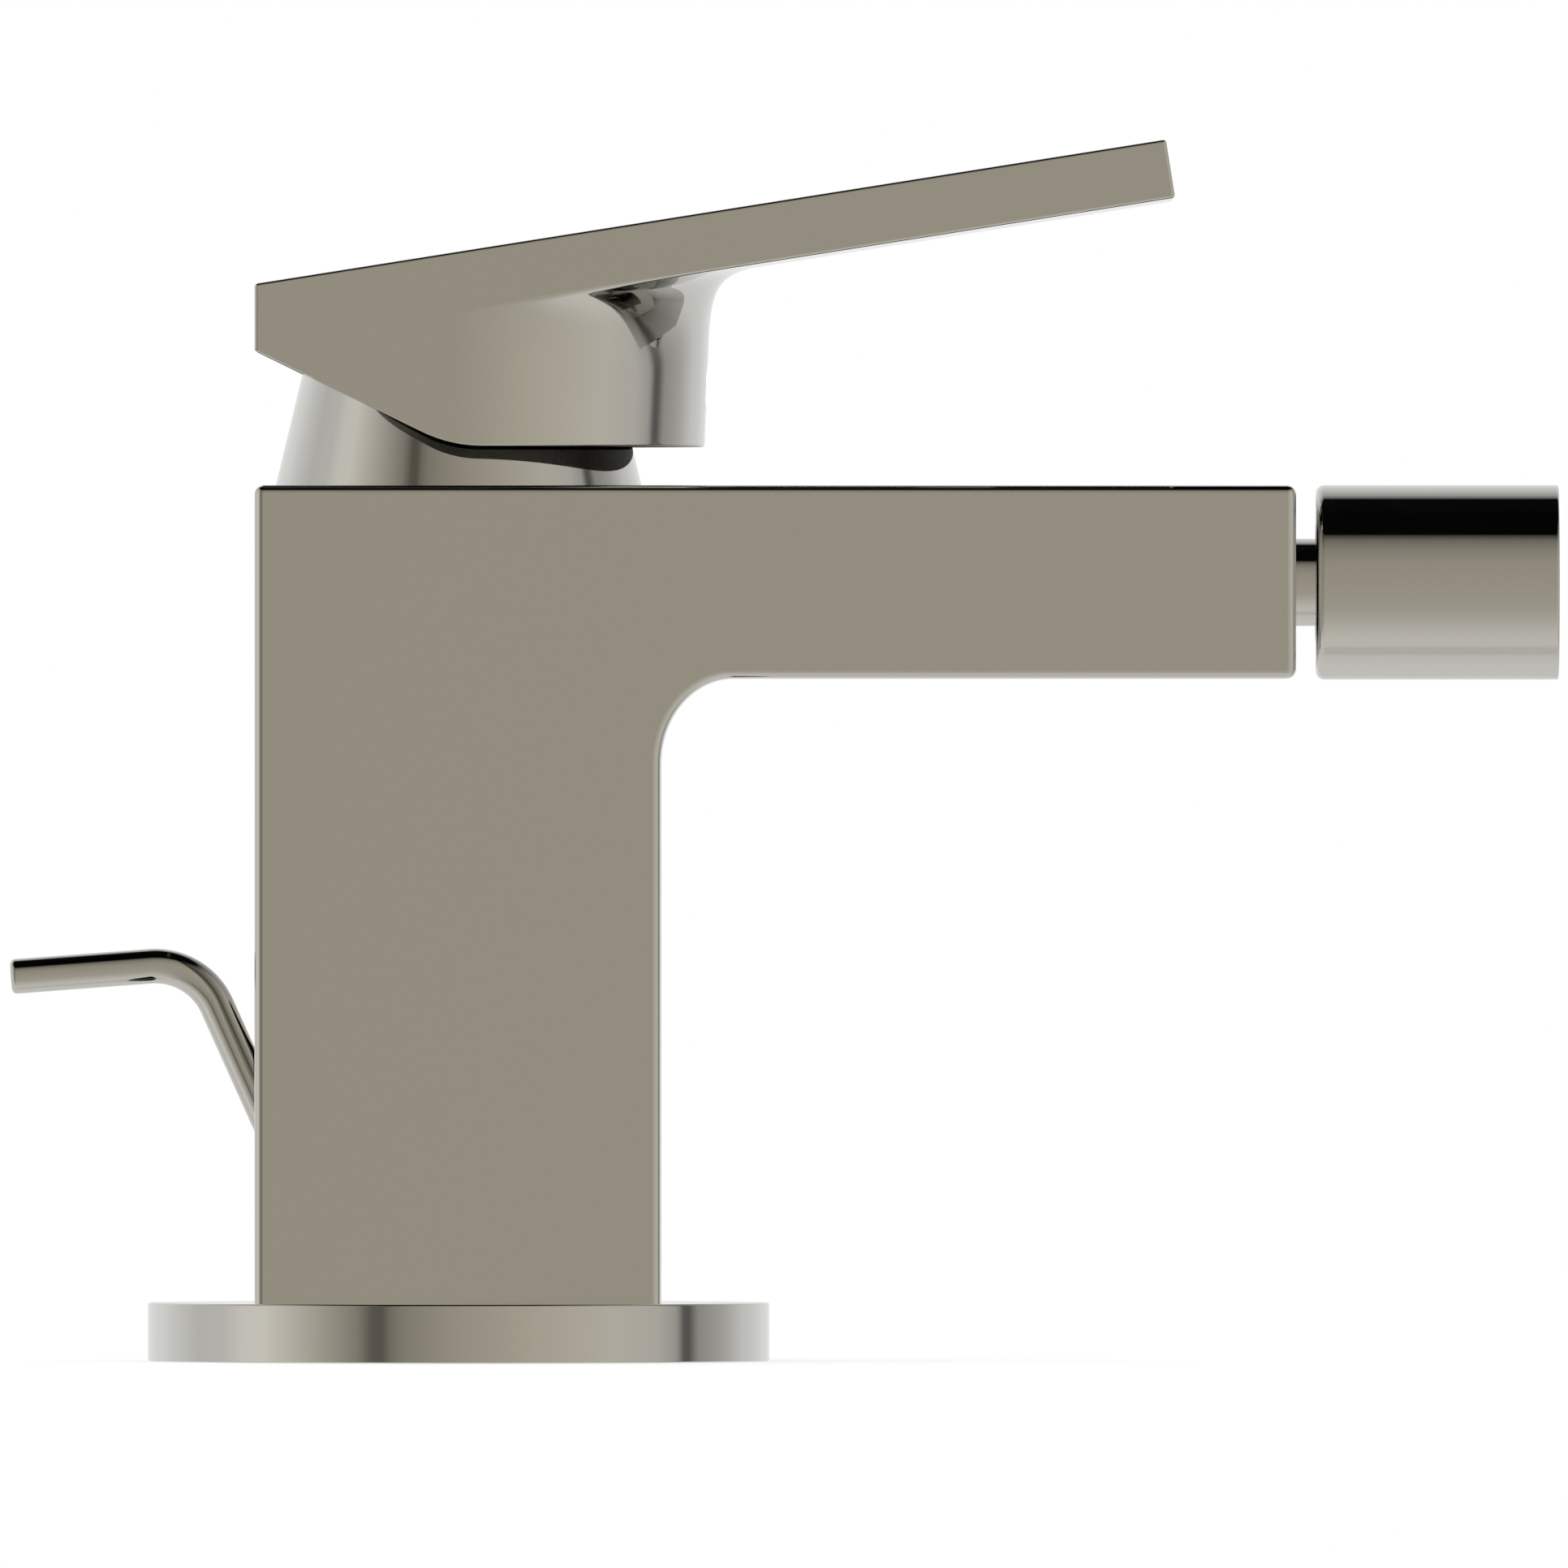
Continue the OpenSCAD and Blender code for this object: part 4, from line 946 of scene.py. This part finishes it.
def thread_crest():
    """A helical ridge of trapezoid section, which stands inwards from the wall of a threaded hole."""
    tree, given = new_geometry_tree("thread_crest", {
        "Wall Radius": 5.0, "Crest Height": 0.5, "Pitch": 1.0, "Turns": 10.0})
    middle = maths(tree, "SUBTRACT", given["Wall Radius"], maths(tree, "DIVIDE", given["Crest Height"], 2.0))
    helix = put(tree, "GeometryNodeCurveSpiral", inputs={
        "Resolution": 40, "Rotations": given["Turns"], "Start Radius": middle, "End Radius": middle,
        "Height": maths(tree, "MULTIPLY", given["Pitch"], given["Turns"])})
    upright = put(tree, "GeometryNodeSetCurveNormal", {"mode": "Z_UP"}, {"Curve": helix.outputs[0]})
    section = put(tree, "GeometryNodeCurvePrimitiveQuadrilateral", {"mode": "TRAPEZOID"}, {
        "Height": given["Crest Height"],
        "Bottom Width": maths(tree, "MULTIPLY", given["Pitch"], 0.85),
        "Top Width": maths(tree, "MULTIPLY", given["Pitch"], 0.2), "Offset": 0.0})
    ridge = put(tree, "GeometryNodeCurveToMesh", inputs={
        "Curve": upright.outputs[0], "Profile Curve": section.outputs[0], "Fill Caps": True})
    whole = put(tree, "GeometryNodeRealizeInstances", inputs={"Geometry": ridge.outputs[0]})
    painted = put(tree, "GeometryNodeSetMaterial", inputs={"Geometry": whole.outputs[0], "Material": brass})
    put(tree, "NodeGroupOutput", inputs={"Geometry": painted.outputs[0]})
    return tree


def grown(name, tree, sizes, place):
    """Runs a geometry tree with these sizes, turns the result into a plain mesh and lays it in place."""
    piece = bpy.data.objects.new(name, bpy.data.meshes.new(name))
    bpy.context.scene.collection.objects.link(piece)
    modifier = piece.modifiers.new(name, "NODES")
    modifier.node_group = tree
    for item in tree.interface.items_tree:
        if item.in_out == "INPUT" and item.name in sizes:
            modifier[item.identifier] = sizes[item.name]
    apply_modifiers(piece)
    piece.data.transform(place)
    return piece


def make_grid():
    """Perforated steel disc that straightens the jet."""
    sizes = {
        "Disc Radius": GRID_R, "Thickness": GRID_T, "Holes": 1 + 3 * GRID_RINGS * (GRID_RINGS + 1),
        "Ring Pitch": GRID_PITCH, "Hole Radius": GRID_HOLE_R}
    place = along_nozzle(INSERT_END - GRID_SETBACK - GRID_T / 2)
    piece = grown("jet_grid", perforated_disc(), sizes, place)
    smooth(piece)
    return fit(piece, "nozzle", "stainless", steel, "outlet_grid")


def make_threads():
    """Thread crests in the two hose inlets, M10 x 1, and in the stud's hole, M8 x 1.25."""
    tree = thread_crest()
    # The ridge is let into the wall a little, starts inside the mouth and ends before the bottom
    sunk, lead_in, run_out = 0.02, 0.6, 1.5
    holes = [
        ("cold_inlet_thread", 0.0, INLET_Y, HOSE_MAJOR_R, HOSE_R, HOSE_PITCH, HOSE_DEPTH),
        ("hot_inlet_thread", 0.0, -INLET_Y, HOSE_MAJOR_R, HOSE_R, HOSE_PITCH, HOSE_DEPTH),
        ("stud_hole_thread", STUD_X, 0.0, STUD_MAJOR_R, STUD_R, STUD_PITCH, STUD_DEPTH),
    ]
    for name, x, y, wall_r, crest_r, pitch, depth in holes:
        sizes = {
            "Wall Radius": wall_r + sunk, "Crest Height": wall_r + sunk - crest_r,
            "Pitch": pitch, "Turns": (depth - run_out) / pitch}
        piece = grown(name, tree, sizes, Matrix.Translation((x, y, FLANGE_T + lead_in)))
        smooth(piece, 25)
        fit(piece, "tap", "plain_brass", brass)


# The studio: white floor and backdrop, and what polished metal sees round it

# Level that the metal sees at eye height, by azimuth: 0 is behind the camera, 90 to its right, 180 the
# backdrop. A warm front wall, a side panel on each hand, two dark stands and the white backdrop.
AROUND = [
    (-180, 0.87), (-142, 0.88), (-125, 0.76), (-112, 0.665), (-97, 0.71), (-88, 0.83), (-78, 0.86),
    (-56, 0.57), (-38, 0.32), (-32, 0.14), (-28, 0.14), (-25, 0.25), (-20, 0.33), (-8, 0.41),
    (0, 0.455), (28, 0.57), (60, 0.66), (80, 0.6), (89, 0.46), (93, 0.13), (96, 0.13), (101, 0.39),
    (108, 0.46), (116, 0.54), (132, 0.8), (154, 0.88), (180, 0.87),
]
# How much of the front wall's warm tint is in that light
WARM_WHITE = (1, 0.927, 0.787, 1)
WARMTH = [
    (-180, 0), (-125, 0), (-82, 0.36), (-45, 0.9), (-20, 1), (25, 1), (60, 0.67), (95, 0.25), (130, 0),
    (180, 0),
]
# Share of that level left at each elevation, up to the black ceiling
UPWARDS = [(-90, 0.95), (0, 1.0), (22, 0.93), (38, 0.76), (50, 0.5), (56, 0.2), (59, 0.004), (90, 0.002)]
# The ceiling starts a few degrees higher up, and comes down by this share of its drop at each azimuth
CEILING_RISE = 4.0
CEILING_DROP = 18.0
CEILING = [
    (-180, 0.0), (-150, 0.0), (-120, 0.22), (88, 0.22), (104, 1.0), (140, 1.0), (162, 0.0), (180, 0.0),
]
# Share of the paper in the light from below the horizon, in front and behind
UNDERFOOT = [(-90, 1.0), (-74, 0.95), (-54, 0.6), (-30, 0.2), (0, 0.0)]
UNDERFOOT_BEHIND = [(-90, 1.0), (-30, 1.0), (-12, 0.4), (0, 0.0)]
# Level of that paper, darkest in the mixer's own shadow, and its warmth in front
PAPER = [(-90, 0.64), (-86, 0.64), (-81, 0.74), (-60, 0.77), (-35, 0.72), (0, 0.7)]
PAPER_WARMTH = 0.3


def ramp(tree, value, table):
    """A ramp through a table of positions and grey levels."""
    start, end = table[0][0], table[-1][0]
    share = put(tree, "ShaderNodeMapRange", inputs={"Value": value, "From Min": start, "From Max": end})
    node = put(tree, "ShaderNodeValToRGB", inputs={"Fac": share.outputs["Result"]})
    stops = node.color_ramp.elements
    while len(stops) > 1:
        stops.remove(stops[-1])
    for i, (position, level) in enumerate(table):
        at = (position - start) / (end - start)
        stop = stops[0] if i == 0 else stops.new(at)
        stop.position = at
        stop.color = (level, level, level, 1)
    return node.outputs["Color"]


def tinted(tree, level, warmth):
    """A level in white light, or in the warm light of the front wall."""
    tint = mixed(tree, warmth, (1, 1, 1, 1), WARM_WHITE)
    return mixed(tree, 1.0, level, tint, "MULTIPLY")


def walls(tree, direction):
    """Light from the studio's walls at eye height in a direction, that direction's parts and its azimuth."""
    part = put(tree, "ShaderNodeSeparateXYZ", inputs={"Vector": direction}).outputs
    azimuth = maths(tree, "ARCTAN2", part["X"], maths(tree, "MULTIPLY", part["Y"], -1.0))
    degrees = maths(tree, "DEGREES", azimuth)
    return tinted(tree, ramp(tree, degrees, AROUND), ramp(tree, degrees, WARMTH)), part, degrees


def make_world():
    """White to the camera, an even light on matt surfaces, and the studio's walls in the metal."""
    world = bpy.data.worlds.new("white_studio")
    bpy.context.scene.world = world
    world.use_nodes = True
    tree = world.node_tree
    tree.nodes.clear()
    around, part, degrees = walls(tree, put(tree, "ShaderNodeTexCoord").outputs["Generated"])
    elevation = maths(tree, "DEGREES", maths(tree, "ARCSINE", part["Z"]))
    raised = maths(tree, "SUBTRACT", elevation, CEILING_RISE)
    under_ceiling = maths(tree, "MULTIPLY_ADD", ramp(tree, degrees, CEILING), CEILING_DROP, raised)
    above = mixed(tree, 1.0, around, ramp(tree, under_ceiling, UPWARDS), "MULTIPLY")
    behind = maths(tree, "MAXIMUM", part["Y"], 0.0)
    in_front, at_back = ramp(tree, elevation, UNDERFOOT), ramp(tree, elevation, UNDERFOOT_BEHIND)
    share = mixed(tree, behind, in_front, at_back)
    warmth = maths(tree, "MULTIPLY_ADD", behind, -PAPER_WARMTH, PAPER_WARMTH)
    paper = tinted(tree, ramp(tree, elevation, PAPER), warmth)
    level = mixed(tree, share, above, paper)
    ray = put(tree, "ShaderNodeLightPath").outputs
    seen = mixed(tree, ray["Is Glossy Ray"], (1, 1, 1, 1), level)
    light = put(tree, "ShaderNodeBackground", inputs={"Color": seen, "Strength": 1.0})
    put(tree, "ShaderNodeOutputWorld", inputs={"Surface": light.outputs[0]})


def make_floor():
    """Matt white paper: white where nothing stands on it, with the mixer's own soft shadow."""
    # In millimetres, a little below the flange so that the two don't flicker
    wide, drop = 1500, 0.05
    corners = [(-wide, -wide), (wide, -wide), (wide, wide), (-wide, wide)]
    floor = solid("studio_floor", [(x, y, -drop) for x, y in corners], [(0, 1, 2, 3)])
    floor.data.transform(Matrix.Scale(MM, 4))
    material = bpy.data.materials.new("matt_white_paper")
    material.use_nodes = True
    tree = material.node_tree
    tree.nodes.clear()
    ray = put(tree, "ShaderNodeLightPath").outputs
    # What the paper reflects and what it gives off add up to just over white where nothing shades it
    reflected, given_off = 0.45, 0.62
    paper = put(tree, "ShaderNodeBsdfDiffuse", inputs={"Color": (reflected, reflected, reflected, 1)})
    clear = maths(tree, "MAXIMUM", ray["Is Camera Ray"], ray["Is Transmission Ray"])
    white = put(tree, "ShaderNodeEmission", inputs={
        "Color": (1, 1, 1, 1), "Strength": maths(tree, "MULTIPLY", clear, given_off)})
    seen = put(tree, "ShaderNodeAddShader", inputs={0: paper.outputs[0], 1: white.outputs[0]})
    # The metal sees past the paper, to the light from below the horizon
    past = put(tree, "ShaderNodeBsdfTransparent")
    both = put(tree, "ShaderNodeMixShader", inputs={
        0: ray["Is Glossy Ray"], 1: seen.outputs[0], 2: past.outputs[0]})
    put(tree, "ShaderNodeOutputMaterial", inputs={"Surface": both.outputs[0]})
    floor.data.materials.append(material)


def make_camera():
    """Long lens, level and square on to the side, with the frame's width taken in plane_y."""
    width = 0.1932
    middle_x, plane_y, middle_z = 0.04015, -0.012, 0.07115
    data = bpy.data.cameras.new("side_camera")
    data.sensor_width = 36
    data.lens = 1500
    distance = width * data.lens / data.sensor_width
    data.clip_start = 0.5
    data.clip_end = distance + 10
    camera = bpy.data.objects.new("side_camera", data)
    bpy.context.scene.collection.objects.link(camera)
    camera.location = (middle_x, plane_y - distance, middle_z)
    camera.rotation_euler = (math.pi / 2, 0, 0)
    bpy.context.scene.camera = camera


make_camera()
make_world()
make_floor()
make_body()
make_block()
make_flange()
make_cone()
make_handle()
make_nozzle()
make_nipple()
make_rod()
make_grid()
make_threads()
for row in frame["record"]["subparts"]:
    node = frame["nodes"][row["node"]]
    node.data.materials.clear()
    node.data.materials.append(finish_of_slot[row["material_slot"]])

bpy.context.scene.view_settings.view_transform = "Standard"
bpy.context.view_layer.update()
